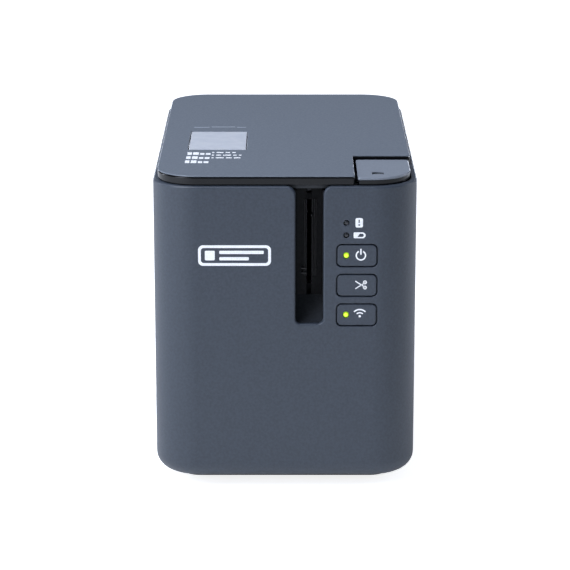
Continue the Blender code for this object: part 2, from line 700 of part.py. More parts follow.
def coil(x, y, low, high, radius, wire, turns, steps=12, sides=6):
    """Round wire wound upwards, with flat ends."""
    climb = high - low - 2 * wire
    rings = []
    for step in range(turns * steps + 1):
        angle = 2 * math.pi * step / steps
        middle = low + wire + climb * step / (turns * steps)
        ring = []
        for side in range(sides):
            around = 2 * math.pi * side / sides
            out = radius + wire * math.cos(around)
            ring.append((x + out * math.cos(angle), y + out * math.sin(angle), middle + wire * math.sin(around)))
        rings.append(ring)
    return loft(rings)


spring_z = (WELL_BOTTOM + 1.5 + GAP, RELEASE_BOTTOM - GAP)
piece("release_spring", steel, coil(*stem_xy, *spring_z, SPRING_RADIUS, SPRING_WIRE, SPRING_TURNS))

tip_bottom = HOOK_BOTTOM + 2.4 + 0.4
lever_right = RELEASE_STEM_X + 3
lever = [
    (LATCH_X - 2, LATCH_Z - 2),
    (lever_right, LATCH_Z - 1.4),
    (lever_right, RELEASE_STEM_BOTTOM - 0.3),
    (LATCH_X + 2.4, RELEASE_STEM_BOTTOM - 0.9),
    (LATCH_X - 0.8, tip_bottom + 2.8),
    (hook_right + 0.8, tip_bottom + 2.8),
    (hook_right + 0.8, tip_bottom),
    (LATCH_X - 4, tip_bottom),
]
piece(
    "latch_lever",
    gear_white,
    prism(lever, *latch_y, "Y"),
    cut=[rod(LATCH_X, LATCH_Z, PIN_RADIUS + RUNNING_GAP, latch_y[0] - 1, latch_y[1] + 1, "Y", 16)],
    origin=(LATCH_X, RELEASE_STEM_Y, LATCH_Z),
)
piece("latch_pin", steel, rod(LATCH_X, LATCH_Z, PIN_RADIUS, rib_ys[0][0] - 0.5, rib_ys[1][1] + 0.5, "Y", 16))

# Buttons, lamps and the panel board

button_front = FRONT_Y + BUTTON_RECESS
flange_y = (inner_front_y + GAP, inner_front_y + GAP + BUTTON_FLANGE)
for row, name in enumerate(("power_button", "cut_button", "wireless_button")):
    z = button_z(row)
    face = rounded_box(BUTTON_X, z, BUTTON_WIDTH, BUTTON_HEIGHT, BUTTON_CORNER, button_front, flange_y[1])
    rear_flange = rounded_box(BUTTON_X, z, BUTTON_WIDTH + 2.2, BUTTON_HEIGHT + 2.2, BUTTON_CORNER, *flange_y)
    lamp_hole = rod(LAMP_X, z, BUTTON_LAMP_RADIUS + GAP, FRONT_Y - 1, flange_y[1] + 1, "Y", 16)
    has_lamp = name != "cut_button"
    place = (BUTTON_X, FRONT_Y, z)
    piece(name, case_grey, face, add=[rear_flange], cut=[lamp_hole] if has_lamp else [], origin=place)
    if has_lamp:
        lamp = rod(LAMP_X, z, BUTTON_LAMP_RADIUS, button_front + 0.1, flange_y[1], "Y", 20)
        piece(name.replace("button", "lamp"), lamp_green, lamp, origin=place)
for name, lamp_z in (("tape_lamp", TAPE_LAMP_Z), ("battery_lamp", BATTERY_LAMP_Z)):
    piece(name, lamp_dark, rod(LAMP_X, lamp_z, LAMP_RADIUS, FRONT_Y + 0.2, inner_front_y + 1.5, "Y", 16))

panel_y = (PANEL_BOARD_Y, PANEL_BOARD_Y + BOARD_THICKNESS)
switch_front = flange_y[1] + BUTTON_TRAVEL + GAP
for row, name in enumerate(("power_switch", "cut_switch", "wireless_switch")):
    z = button_z(row)
    half = SWITCH_SIZE / 2
    can = block((BUTTON_X - half, BUTTON_X + half), (switch_front + 1, panel_y[0] - GAP), (z - half, z + half))
    plunger = rod(BUTTON_X, z, 1.7, switch_front, switch_front + 1.5, "Y", 16)
    piece(name, matt_black, can, add=[plunger])
panel_x = (chute_right + GAP, PANEL_BOARD_RIGHT)
piece("panel_board", board_green, block(panel_x, panel_y, (PANEL_BOARD_BOTTOM, PANEL_BOARD_TOP)))

# Chassis, drive plate and motors

chassis_cut = [
    block(
        (-CHASSIS_HALF_X + SHEET, CHASSIS_HALF_X - SHEET),
        (CHASSIS_FRONT - 1, CHASSIS_BACK - SHEET),
        (CHASSIS_BOTTOM + SHEET, CHASSIS_TOP + 1),
    )
]
chassis_cut += [
    rod(x, y, SCREW_RADIUS + GAP, CHASSIS_BOTTOM - 1, CHASSIS_BOTTOM + SHEET + 1, sides=16) for x, y in screw_places
]
chassis_x = (-CHASSIS_HALF_X, CHASSIS_HALF_X)
chassis = block(chassis_x, (CHASSIS_FRONT, CHASSIS_BACK), (CHASSIS_BOTTOM, CHASSIS_TOP))
piece("chassis", steel, chassis, cut=chassis_cut)

plate_z = (CHASSIS_TOP + GAP, CHASSIS_TOP + GAP + DRIVE_PLATE_THICKNESS)
gear_z = (plate_z[1] + 0.6, plate_z[1] + 0.6 + GEAR_FACE)
post_top = gear_z[1] + 0.8
fixed_gears = [(idler_x, idler_y), (reduction_x, reduction_y)]
plate_posts = [rod(x, y, SHAFT_RADIUS, plate_z[0] + 0.5, post_top, sides=16) for x, y in fixed_gears]
plate_posts.append(rod(ribbon_x, ribbon_y, SHAFT_RADIUS, plate_z[0] + 0.5, gear_z[1] - 1.5, sides=16))
motor_hole = rod(pinion_x, pinion_y, SHAFT_RADIUS + 1, plate_z[0] - 1, plate_z[1] + 1)
piece(
    "drive_plate",
    steel,
    block(chassis_x, (DRIVE_PLATE_FRONT, DRIVE_PLATE_BACK), plate_z),
    add=plate_posts,
    cut=[motor_hole],
)
motor_top = plate_z[0] - GAP
piece(
    "drive_motor",
    steel,
    rod(pinion_x, pinion_y, MOTOR_RADIUS, motor_top - MOTOR_LENGTH, motor_top, sides=32),
    add=[rod(pinion_x, pinion_y, 4.0, motor_top - MOTOR_LENGTH - 2, motor_top - 1)],
)


# Gears


def gear_outline(x, y, teeth, phase=0.0):
    """Trapezoid teeth a little narrower than their gaps, so that meshed gears never touch at rest."""
    pitch = GEAR_MODULE * teeth / 2
    root, tip = pitch - 1.15 * GEAR_MODULE, pitch + 0.85 * GEAR_MODULE
    step = 2 * math.pi / teeth
    points = []
    for tooth in range(teeth):
        middle = phase + tooth * step
        for share, radius in ((-0.30, root), (-0.12, tip), (0.12, tip), (0.30, root)):
            angle = middle + share * step
            points.append((x + radius * math.cos(angle), y + radius * math.sin(angle)))
    return points


def gear(x, y, teeth, phase=0.0):
    return prism(gear_outline(x, y, teeth, phase), *gear_z)


def bore(x, y, low, high):
    return rod(x, y, SHAFT_RADIUS + RUNNING_GAP, low, high, sides=16)


def facing(angle, teeth, gap_here):
    """Phase that points a tooth, or the gap between two, along an angle in degrees."""
    return math.radians(angle) + (math.pi / teeth if gap_here else 0)


idler_phase = facing(0, IDLER_TEETH, False)
platen_phase = facing(180, PLATEN_TEETH, True)
reduction_phase = facing(0, REDUCTION_TEETH, IDLER_TEETH % 2 == 0)
ribbon_phase = facing(270, RIBBON_TEETH, IDLER_TEETH % 4 == 0)
teeth_to_pinion = math.radians(PINION_ANGLE) - reduction_phase
tooth_share = teeth_to_pinion / (2 * math.pi / REDUCTION_TEETH) % 1
pinion_phase = facing(PINION_ANGLE + 180, PINION_TEETH, True) + tooth_share * 2 * math.pi / PINION_TEETH

through = (gear_z[0] - 1, gear_z[1] + 1)
for name, x, y, teeth, phase in (
    ("idler_gear", idler_x, idler_y, IDLER_TEETH, idler_phase),
    ("reduction_gear", reduction_x, reduction_y, REDUCTION_TEETH, reduction_phase),
    ("platen_gear", PLATEN_X, PLATEN_Y, PLATEN_TEETH, platen_phase),
):
    piece(name, gear_white, gear(x, y, teeth, phase), cut=[bore(x, y, *through)], origin=(x, y, gear_z[0]))
piece(
    "ribbon_spindle",
    gear_white,
    gear(ribbon_x, ribbon_y, RIBBON_TEETH, ribbon_phase),
    add=[rod(ribbon_x, ribbon_y, RIBBON_SPINDLE_RADIUS, gear_z[1] - 1, RIBBON_SPINDLE_TOP, sides=12)],
    cut=[bore(ribbon_x, ribbon_y, gear_z[0] - 1, gear_z[1] - 1)],
    origin=(ribbon_x, ribbon_y, gear_z[0]),
)
piece(
    "motor_pinion",
    steel,
    gear(pinion_x, pinion_y, PINION_TEETH, pinion_phase),
    add=[rod(pinion_x, pinion_y, SHAFT_RADIUS, motor_top + GAP, gear_z[0] + 1, sides=16)],
    origin=(pinion_x, pinion_y, gear_z[0]),
)

# Platen, its holder and the print head

arm_low = (HOLDER_BOTTOM, HOLDER_BOTTOM + ARM_THICKNESS)
arm_high = (HOLDER_TOP - ARM_THICKNESS, HOLDER_TOP)
platen_origin = (PLATEN_X, PLATEN_Y, gear_z[0])
roller_z = (arm_low[1] + 0.5, arm_high[0] - 0.5)
piece(
    "platen_roller",
    rubber,
    rod(PLATEN_X, PLATEN_Y, PLATEN_RADIUS, *roller_z, sides=36),
    cut=[bore(PLATEN_X, PLATEN_Y, roller_z[0] - 1, roller_z[1] + 1)],
    origin=platen_origin,
)
shaft_z = (plate_z[1] + GAP, HOLDER_TOP + 1)
piece("platen_shaft", steel, rod(PLATEN_X, PLATEN_Y, SHAFT_RADIUS, *shaft_z, sides=16), origin=platen_origin)
holder_x = (PLATEN_X - 3.4, HOLDER_BACK_X)
arm_y = (PLATEN_Y - 4, PLATEN_Y + 4)
back_x = (HOLDER_BACK_X - 1, HOLDER_BACK_X + 1)
piece(
    "roller_holder",
    matt_black,
    block(back_x, (HOLDER_PIVOT_Y - 1, PLATEN_Y + 9), (HOLDER_BOTTOM, HOLDER_TOP)),
    add=[
        block(holder_x, arm_y, arm_low),
        block(holder_x, arm_y, arm_high),
        block((HOLDER_PIVOT_X, HOLDER_BACK_X), (HOLDER_PIVOT_Y - 1, HOLDER_PIVOT_Y + 1), (HOLDER_BOTTOM, HOLDER_TOP)),
        rod(HOLDER_PIVOT_X, HOLDER_PIVOT_Y, HOLDER_BOSS_RADIUS, HOLDER_BOTTOM, HOLDER_TOP),
    ],
    cut=[
        bore(HOLDER_PIVOT_X, HOLDER_PIVOT_Y, HOLDER_BOTTOM - 1, HOLDER_TOP + 1),
        bore(PLATEN_X, PLATEN_Y, HOLDER_BOTTOM - 1, HOLDER_TOP + 1),
    ],
    origin=(HOLDER_PIVOT_X, HOLDER_PIVOT_Y, HOLDER_BOTTOM),
)
pin_z = (BAY_FLOOR - BAY_WALL + 0.2, HOLDER_TOP + 1)
piece("holder_pin", steel, rod(HOLDER_PIVOT_X, HOLDER_PIVOT_Y, PIN_RADIUS, *pin_z, sides=16))

head_y = (HEAD_FRONT, HEAD_BACK)
head_x = (HEAD_FACE_X - HEAD_THICKNESS, HEAD_FACE_X)
sink_x = (head_x[0] - GAP - HEAD_HOLDER_THICKNESS, head_x[0] - GAP)
head_z = (BAY_FLOOR + GAP, HEAD_TOP)
piece("head_holder", aluminium, block(sink_x, head_y, head_z))
piece("thermal_head", ceramic_white, block(head_x, grown(head_y, -2), (head_z[0] + 1, HEAD_TOP - 2)))

# Cassette

notch_y = grown(head_y, CASSETTE_NOTCH_MARGIN)
cassette_x = (BAY_LEFT + 0.4, CASSETTE_RIGHT)
cassette_y = (BAY_FRONT + 0.4, BAY_BACK - 0.4)
cassette_z = (BAY_FLOOR + GAP, BAY_FLOOR + GAP + CASSETTE_HEIGHT)
hub_x, hub_y = (cassette_x[0] + CASSETTE_NOTCH_X) / 2 - 4, 16.0
piece(
    "tape_cassette",
    cassette_grey,
    block(cassette_x, cassette_y, cassette_z),
    cut=[
        block((CASSETTE_NOTCH_X, CASSETTE_RIGHT + 1), notch_y, (cassette_z[0] - 1, cassette_z[1] + 1)),
        rod(ribbon_x, ribbon_y, RIBBON_SPINDLE_RADIUS + 0.7, cassette_z[0] - 1, RIBBON_SPINDLE_TOP + 2),
        rod(hub_x, hub_y, CASSETTE_HUB_RADIUS, cassette_z[1] - 1.2, cassette_z[1] + 1, sides=36),
    ],
)
cassette_label_z = (cassette_z[1] + GAP, cassette_z[1] + GAP + CASSETTE_LABEL)
piece("cassette_label", paper_white, block(grown(window_x, 1), (WINDOW_FRONT - 4, 1.5), cassette_label_z))

# Cutter

blade_y = (BLADE_FRONT_Y, BLADE_FRONT_Y + BLADE_THICKNESS)
fixed_y = (blade_y[1] + GAP, blade_y[1] + GAP + BLADE_THICKNESS)
cutter_frame_y = (fixed_y[1] + GAP, fixed_y[1] + GAP + BLADE_THICKNESS)
frame_low = plate_z[1] + GAP
frame_cut = [
    block((TAPE_X - 4.2, TAPE_X + 3.2), (cutter_frame_y[0] - 1, cutter_frame_y[1] + 1), (BAY_FLOOR, CUTTER_FRAME_TOP - 3)),
    rod(CAM_X, CHASSIS_TOP - 1, 2.4, cutter_frame_y[0] - 1, cutter_frame_y[1] + 1, "Y", 16),
]
piece(
    "cutter_frame",
    steel,
    block((-4, 22), cutter_frame_y, (frame_low, CUTTER_FRAME_TOP)),
    add=[
        block((16, CAM_X + 8), cutter_frame_y, (CHASSIS_TOP - 11, 92)),
        block((-4, 20), (cutter_frame_y[0], DRIVE_PLATE_FRONT + 5), (frame_low, frame_low + 1.2)),
    ],
    cut=frame_cut,
)
blade_pivot = (BLADE_PIVOT_X, BLADE_PIVOT_Z)
edge_x = TAPE_X - 1.2
piece(
    "fixed_blade",
    steel,
    block((2, edge_x), fixed_y, (BLADE_PIVOT_Z + 3, BLADE_PIVOT_Z + BLADE_LENGTH - 1)),
)
rest = math.radians(BLADE_REST_ANGLE)


def swung(x, z):
    """Point of the moving blade at rest, from its place when shut."""
    return (
        BLADE_PIVOT_X + x * math.cos(rest) + z * math.sin(rest),
        BLADE_PIVOT_Z - x * math.sin(rest) + z * math.cos(rest),
    )


blade = [swung(*p) for p in ((-1.5, 3), (0, -3.4), (5, -3.4), (9, 3), (9, 44), (4, BLADE_LENGTH), (-1.5, BLADE_LENGTH))]
cam_z = CHASSIS_TOP - 1
tail_z = cam_z + CAM_RADIUS + CAM_CLEARANCE
tail = [(BLADE_PIVOT_X + 2, tail_z), (CAM_X + 0.8, tail_z), (CAM_X + 0.8, tail_z + 3), (BLADE_PIVOT_X + 6, tail_z + 8)]
piece(
    "moving_blade",
    steel,
    prism(blade, *blade_y, "Y"),
    add=[prism(tail, *blade_y, "Y")],
    cut=[rod(*blade_pivot, PIN_RADIUS + RUNNING_GAP, blade_y[0] - 1, blade_y[1] + 1, "Y", 16)],
    origin=(BLADE_PIVOT_X, blade_y[0], BLADE_PIVOT_Z),
)
pivot_y = (blade_y[0], cutter_frame_y[0] - GAP)
piece("blade_pivot", steel, rod(*blade_pivot, PIN_RADIUS, *pivot_y, "Y", 16))


def cam_outline(sides=36):
    """Radius that grows evenly with the angle, then falls back."""
    points = []
    for side in range(sides):
        degrees = 360 * side / sides
        if degrees <= CAM_SWEEP:
            radius = CAM_RADIUS + CAM_RISE * degrees / CAM_SWEEP
        else:
            radius = CAM_RADIUS + CAM_RISE * (360 - degrees) / (360 - CAM_SWEEP)
        angle = math.radians(90 - degrees)
        points.append((CAM_X + radius * math.cos(angle), cam_z + radius * math.sin(angle)))
    return points


motor_y = cutter_frame_y[1] + GAP
piece(
    "cutter_cam",
    gear_white,
    prism(cam_outline(), *blade_y, "Y"),
    add=[rod(CAM_X, cam_z, PIN_RADIUS, blade_y[1] - 0.5, motor_y - GAP, "Y", 16)],
    origin=(CAM_X, blade_y[0], cam_z),
)
piece(
    "cutter_motor",
    steel,
    rod(CAM_X, cam_z, CUTTER_MOTOR_RADIUS, motor_y, motor_y + CUTTER_MOTOR_LENGTH, "Y", 28),
)

# Main board with its sockets

board_y = (CHASSIS_BACK + 0.4, CHASSIS_BACK + 0.4 + BOARD_THICKNESS)
board_x = (-BOARD_HALF_X, BOARD_HALF_X)
piece("main_board", board_green, block(board_x, board_y, (BOARD_BOTTOM, BOARD_TOP)))
socket_y = (board_y[1] + GAP, BACK_Y - 0.4)
for name, (x, width, height) in socket_sizes.items():
    body = block((x - width / 2, x + width / 2), socket_y, (SOCKET_Z - height / 2, SOCKET_Z + height / 2))
    if name == "power_inlet":
        recess = rod(x, SOCKET_Z, 3.4, socket_y[1] - 9, BACK_Y + 1, "Y", 20)
    else:
        half, tall = width / 2 - 1.6, height / 2 - 1.6
        recess = block((x - half, x + half), (socket_y[1] - 9, BACK_Y + 1), (SOCKET_Z - tall, SOCKET_Z + tall))
    piece(name, matt_black, body, cut=[recess])
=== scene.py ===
import math

import bmesh
import bpy
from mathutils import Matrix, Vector


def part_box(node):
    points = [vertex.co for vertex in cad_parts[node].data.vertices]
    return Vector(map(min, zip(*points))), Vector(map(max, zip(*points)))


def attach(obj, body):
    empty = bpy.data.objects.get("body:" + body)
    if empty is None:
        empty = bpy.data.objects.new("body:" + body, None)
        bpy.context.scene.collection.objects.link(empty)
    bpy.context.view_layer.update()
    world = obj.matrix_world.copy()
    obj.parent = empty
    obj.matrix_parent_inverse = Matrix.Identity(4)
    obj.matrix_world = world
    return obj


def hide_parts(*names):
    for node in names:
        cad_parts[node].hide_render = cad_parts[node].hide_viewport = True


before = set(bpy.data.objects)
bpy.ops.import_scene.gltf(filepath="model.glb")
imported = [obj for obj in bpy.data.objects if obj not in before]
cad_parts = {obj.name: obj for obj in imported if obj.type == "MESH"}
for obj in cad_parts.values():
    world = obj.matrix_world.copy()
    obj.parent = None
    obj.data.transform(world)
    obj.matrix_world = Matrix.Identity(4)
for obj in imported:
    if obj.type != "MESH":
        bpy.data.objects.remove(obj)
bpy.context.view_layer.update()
mm = 0.001


# Shapes, all in millimetres until they become a mesh. An outline is a list of (a, b) points.

def limitsOf(node):  # (low, high) along x, y and z of a piece of the part
    low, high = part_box(node)
    return [(a / mm, b / mm) for a, b in zip(low, high)]


def middleOf(node):
    return [(low + high) / 2 for low, high in limitsOf(node)]


def halfWidthOf(node):
    low, high = limitsOf(node)[0]
    return (high - low) / 2


def roundedOutline(corners, steps=10):  # corners are (a, b, radius), anticlockwise
    points = []
    for index, (a, b, radius) in enumerate(corners):
        here = Vector((a, b))
        back = (Vector(corners[index - 1][:2]) - here).normalized()
        ahead = (Vector(corners[(index + 1) % len(corners)][:2]) - here).normalized()
        if radius <= 0:
            points.append((a, b))
            continue
        half = back.angle(ahead) / 2
        centre = here + (back + ahead).normalized() * radius / math.sin(half)
        start = here + back * radius / math.tan(half) - centre
        end = here + ahead * radius / math.tan(half) - centre
        first = math.atan2(start.y, start.x)
        turn = math.remainder(math.atan2(end.y, end.x) - first, 2 * math.pi)
        for step in range(steps + 1):
            angle = first + turn * step / steps
            points.append((centre.x + radius * math.cos(angle), centre.y + radius * math.sin(angle)))
    return points


def rectangle(a, b, radius=0, steps=6):
    return roundedOutline([(a[0], b[0], radius), (a[1], b[0], radius), (a[1], b[1], radius),
                           (a[0], b[1], radius)], steps)


def shrinking(a, b, radius=0, steps=6, grow=0):  # a rectangle that draws in by an inset
    return lambda inset: rectangle((a[0] - grow + inset, a[1] + grow - inset),
                                   (b[0] - grow + inset, b[1] + grow - inset),
                                   radius, steps)


def circle(a, b, radius, sides=32):
    angles = [2 * math.pi * side / sides for side in range(sides)]
    return [(a + radius * math.cos(t), b + radius * math.sin(t)) for t in angles]


def loft(rings, axis="Z"):  # rings are (outline, level) along the axis, closed by a face at each end
    point = {"Z": lambda a, b, c: (a, b, c), "Y": lambda a, b, c: (a, c, b),
             "X": lambda a, b, c: (c, a, b)}[axis]
    shape = bmesh.new()
    loops = [[shape.verts.new([v * mm for v in point(a, b, level)]) for a, b in outline]
             for outline, level in rings]
    for low, high in zip(loops, loops[1:]):
        for index in range(len(low)):
            after = (index + 1) % len(low)
            shape.faces.new((low[index], low[after], high[after], high[index]))
    shape.faces.new(list(reversed(loops[0])))
    shape.faces.new(loops[-1])
    return finishedMesh(shape)


def finishedMesh(shape):  # merges doubled points, turns every face outwards
    bmesh.ops.remove_doubles(shape, verts=shape.verts, dist=1e-7)
    bmesh.ops.recalc_face_normals(shape, faces=shape.faces)
    mesh = bpy.data.meshes.new("shape")
    shape.to_mesh(mesh)
    shape.free()
    return mesh


def push(outline, low, high, axis="Z"):
    return loft([(outline, low), (outline, high)], axis)


def block(x, y, z, radius=0):
    return push(rectangle(x, y, radius), z[0], z[1])


def slab(outlineAt, low, high, lowRound=0, highRound=0, axis="Z", steps=5):  # quarter rounds at its two ends
    rings = []
    for step in range(steps + 1 if lowRound else 1):
        angle = math.pi / 2 * step / steps if lowRound else math.pi / 2
        rings.append((outlineAt(lowRound * (1 - math.sin(angle))), low + lowRound * (1 - math.cos(angle))))
    for step in range(steps + 1 if highRound else 1):
        angle = math.pi / 2 * step / steps
        rings.append((outlineAt(highRound * (1 - math.cos(angle))), high - highRound * (1 - math.sin(angle))))
    return loft(rings, axis)


def flared(outlineAt, inside, surface, radius, axis="Y", steps=5):  # a cutter whose mouth opens in a quarter round
    way = 1 if surface > inside else -1
    rings = [(outlineAt(0), inside)]
    for step in range(steps + 1):
        angle = math.pi / 2 * step / steps
        rings.append((outlineAt(-radius * (1 - math.cos(angle))),
                      surface - way * radius * (1 - math.sin(angle))))
    rings.append((outlineAt(-radius), surface + way))
    return loft(rings, axis)


def turned(profile, a, b, axis="Z", sides=32):  # profile is a list of (radius, level)
    return loft([(circle(a, b, radius, sides), level) for radius, level in profile], axis)


def combined(mesh, others, operation):
    body = bpy.data.objects.new("body", mesh)
    tools = [bpy.data.objects.new("tool", other) for other in others]
    for item in [body, *tools]:
        bpy.context.collection.objects.link(item)
    for tool in tools:
        change = body.modifiers.new("change", "BOOLEAN")
        change.operation = operation
        change.solver = "EXACT"
        change.object = tool
    bpy.context.view_layer.update()
    result = bpy.data.meshes.new_from_object(body.evaluated_get(bpy.context.evaluated_depsgraph_get()))
    for item in [body, *tools]:
        bpy.data.objects.remove(item)
    return result


def carve(mesh, *others):
    return combined(mesh, others, "DIFFERENCE")


def weld(mesh, *others):
    return combined(mesh, others, "UNION")


def gathered(*meshes):  # separate closed shapes in one mesh
    shape = bmesh.new()
    for mesh in meshes:
        shape.from_mesh(mesh)
    mesh = bpy.data.meshes.new("shape")
    shape.to_mesh(mesh)
    shape.free()
    return mesh


def place(name, mesh, material, body, stands=(), crease=32, bevel=0):
    shape = bmesh.new()
    shape.from_mesh(mesh)
    bmesh.ops.remove_doubles(shape, verts=shape.verts, dist=2e-6)
    bmesh.ops.dissolve_degenerate(shape, edges=shape.edges, dist=1e-7)
    shape.to_mesh(mesh)
    shape.free()
    mesh.name = name
    mesh.materials.clear()
    mesh.materials.append(material)
    for face in mesh.polygons:
        face.use_smooth = True
        face.material_index = 0
    mesh.set_sharp_from_angle(angle=math.radians(crease))
    item = bpy.data.objects.new(name, mesh)
    bpy.context.collection.objects.link(item)
    if bevel:
        edge = item.modifiers.new("edges", "BEVEL")
        edge.width = bevel * mm
        edge.segments = 2
        edge.limit_method = "ANGLE"
        edge.angle_limit = math.radians(40)
    normals = item.modifiers.new("normals", "WEIGHTED_NORMAL")
    normals.keep_sharp = True
    normals.weight = 80
    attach(item, body)
    if stands:
        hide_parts(*stands)


def eased(name, node, material, bevel):  # the part's own shape with its edges rounded over
    place(name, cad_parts[node].data.copy(), material, "case", [node], crease=30, bevel=bevel)


def dress(material, *nodes):  # a new finish on pieces of the part that keep their shape
    for node in nodes:
        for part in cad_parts[node].material_slots:
            part.material = material


# Materials. Patterns read Object coordinates, in metres, and their sizes are real millimetres.

def linearColour(code):  # sRGB hex to the linear values that a shader takes
    parts = [int(code[index:index + 2], 16) / 255 for index in (0, 2, 4)]
    return [part / 12.92 if part <= 0.04045 else ((part + 0.055) / 1.055) ** 2.4 for part in parts] + [1.0]


def addNode(tree, kind, inputs=None, **settings):
    node = tree.nodes.new(kind)
    for name, value in settings.items():
        setattr(node, name, value)
    for name, value in (inputs or {}).items():
        if isinstance(value, bpy.types.NodeSocket):
            tree.links.new(value, node.inputs[name])
        else:
            node.inputs[name].default_value = value
    return node


def startMaterial(name, **values):  # values go straight onto the shader's own sockets
    material = bpy.data.materials.new(name)
    material.use_nodes = True
    shader = material.node_tree.nodes["Principled BSDF"]
    sockets = {"roughness": "Roughness", "metallic": "Metallic", "ior": "IOR", "coat": "Coat Weight",
               "coatRoughness": "Coat Roughness", "transmission": "Transmission Weight",
               "specular": "Specular IOR Level", "subsurface": "Subsurface Weight", "glow": "Emission Strength"}
    for key, value in values.items():
        shader.inputs[sockets[key]].default_value = value
    return material, material.node_tree, shader


def lumps(tree, sizeMm, detail=2.0, stretch=(1, 1, 1), rough=0.5):  # soft noise whose lumps have a real size
    where = addNode(tree, "ShaderNodeTexCoord")
    spread = addNode(tree, "ShaderNodeMapping", {"Vector": where.outputs["Object"], "Scale": stretch})
    return addNode(tree, "ShaderNodeTexNoise", {"Vector": spread.outputs["Vector"], "Scale": 1 / (sizeMm * mm),
                                                "Detail": detail, "Roughness": rough}).outputs["Fac"]


def ranged(tree, value, fromMin=0.0, fromMax=1.0, toMin=0.0, toMax=1.0):
    node = addNode(tree, "ShaderNodeMapRange", {"Value": value, "From Min": fromMin, "From Max": fromMax,
                                                  "To Min": toMin, "To Max": toMax})
    return node.outputs["Result"]


def mixedColour(tree, factor, first, second):
    colours = {6: linearColour(first), 7: linearColour(second)}
    return addNode(tree, "ShaderNodeMix", {"Factor": factor, **colours}, data_type="RGBA").outputs[2]


def colourBetween(tree, shader, amount, first, second, low=0.35, high=0.65):
    tree.links.new(mixedColour(tree, ranged(tree, amount, low, high), first, second),
                   shader.inputs["Base Color"])


def relief(tree, shader, height, depthMm):  # height runs 0 to 1 over a real depth
    bump = addNode(tree, "ShaderNodeBump", {"Height": height, "Distance": depthMm * mm})
    tree.links.new(bump.outputs["Normal"], shader.inputs["Normal"])


def wanderRoughness(tree, shader, amount, low, high):  # follows the pattern from low to high
    tree.links.new(ranged(tree, amount, 0.3, 0.7, low, high), shader.inputs["Roughness"])


# ABS, moulded in a spark-eroded tool: a fine even grain that scatters the light and keeps a soft sheen.
def mouldedAbs(name, dark, light, roughness, specular, mottleMm, grainMm, grainDepthMm):
    material, tree, shader = startMaterial(name, ior=1.53, roughness=roughness, specular=specular)
    colourBetween(tree, shader, lumps(tree, mottleMm, 3.0), dark, light)
    wanderRoughness(tree, shader, lumps(tree, mottleMm * 0.6, 1.0), roughness - 0.04, roughness + 0.04)
    relief(tree, shader, lumps(tree, grainMm, 2.0, rough=0.7), grainDepthMm)
    return material


caseAbs = mouldedAbs("Moulded ABS, slate case", dark="343B45", light="3A424D", roughness=0.44, specular=0.5,
                     mottleMm=1.1, grainMm=0.45, grainDepthMm=0.012)
lidAbs = mouldedAbs("Moulded ABS, grey lid", dark="646C76", light="6A727C", roughness=0.42, specular=0.5,
                    mottleMm=1.6, grainMm=0.35, grainDepthMm=0.008)
buttonAbs = mouldedAbs("Moulded ABS, release button", dark="7B828C", light="818892", roughness=0.38,
                       specular=0.5,
                       mottleMm=1.6, grainMm=0.35, grainDepthMm=0.006)  # a little paler and smoother than the lid
mattAbs = mouldedAbs("Moulded ABS, matt black", dark="0E0F11", light="141517", roughness=0.66, specular=0.25,
                     mottleMm=1.5, grainMm=0.5, grainDepthMm=0.02)  # it swallows the slot's light
cassetteAbs = mouldedAbs("Moulded ABS, cassette shell", dark="34373C", light="3A3D43", roughness=0.46,
                         specular=0.5,
                         mottleMm=1.4, grainMm=0.4, grainDepthMm=0.012)
# Painted light: a grey paler than the chute's black, for the light that reaches the bottom of the slot
scoopPaintedLightAbs = mouldedAbs("Moulded ABS, chute floor paler as painted light", dark="1F2227", light="262A2F", roughness=0.6,
                      specular=0.25,
                      mottleMm=1.3, grainMm=0.45, grainDepthMm=0.015)
deckAbs = mouldedAbs("Moulded ABS, charcoal", dark="26292E", light="2D3136", roughness=0.5, specular=0.45,
                     mottleMm=1.4, grainMm=0.5, grainDepthMm=0.018)  # sparked grain gives the eye a soft dark satin


# ABS from a polished tool: a deep black that mirrors the lights, with a faint ripple left by the mould's flow.
glossAbsLook = {"dark": "08090B", "light": "0C0D10", "roughness": 0.1, "rippleMm": 9.0, "rippleDepthMm": 0.01,
                "smearMm": 4.0}
glossAbs, tree, shader = startMaterial("Polished ABS, black", ior=1.53, roughness=glossAbsLook["roughness"],
                                       specular=0.32)
colourBetween(tree, shader, lumps(tree, glossAbsLook["smearMm"]), glossAbsLook["dark"], glossAbsLook["light"])
wanderRoughness(tree, shader, lumps(tree, glossAbsLook["smearMm"], 3.0), glossAbsLook["roughness"] - 0.05,
                glossAbsLook["roughness"] + 0.06)
relief(tree, shader, lumps(tree, glossAbsLook["rippleMm"]), glossAbsLook["rippleDepthMm"])


# Polycarbonate pane, moulded clear. Its pale colour is painted light: it stands for the cassette showing through
# without shade, under a sheet of reflected light.
paneLookPaintedLight = {"dark": "E4E9F2", "light": "EEF2F8", "hazeMm": 6.0}
paneWithPaintedLight, tree, shader = startMaterial("Moulded polycarbonate, pale with painted light", ior=1.58, roughness=0.12,
                                        transmission=0.25)
# painted light: the pale colour stands for the unshaded cassette and the light reflected off the pane
colourBetween(tree, shader, lumps(tree, paneLookPaintedLight["hazeMm"]), paneLookPaintedLight["dark"], paneLookPaintedLight["light"])
relief(tree, shader, lumps(tree, paneLookPaintedLight["hazeMm"]), 0.004)


# Acrylic lamp lens over a lit diode: brightest in the middle, a darker ring where the lens meets its hole.
lampLook = {"core": "D3F23C", "rim": "7FA815", "glow": 1.0, "frostMm": 0.35}


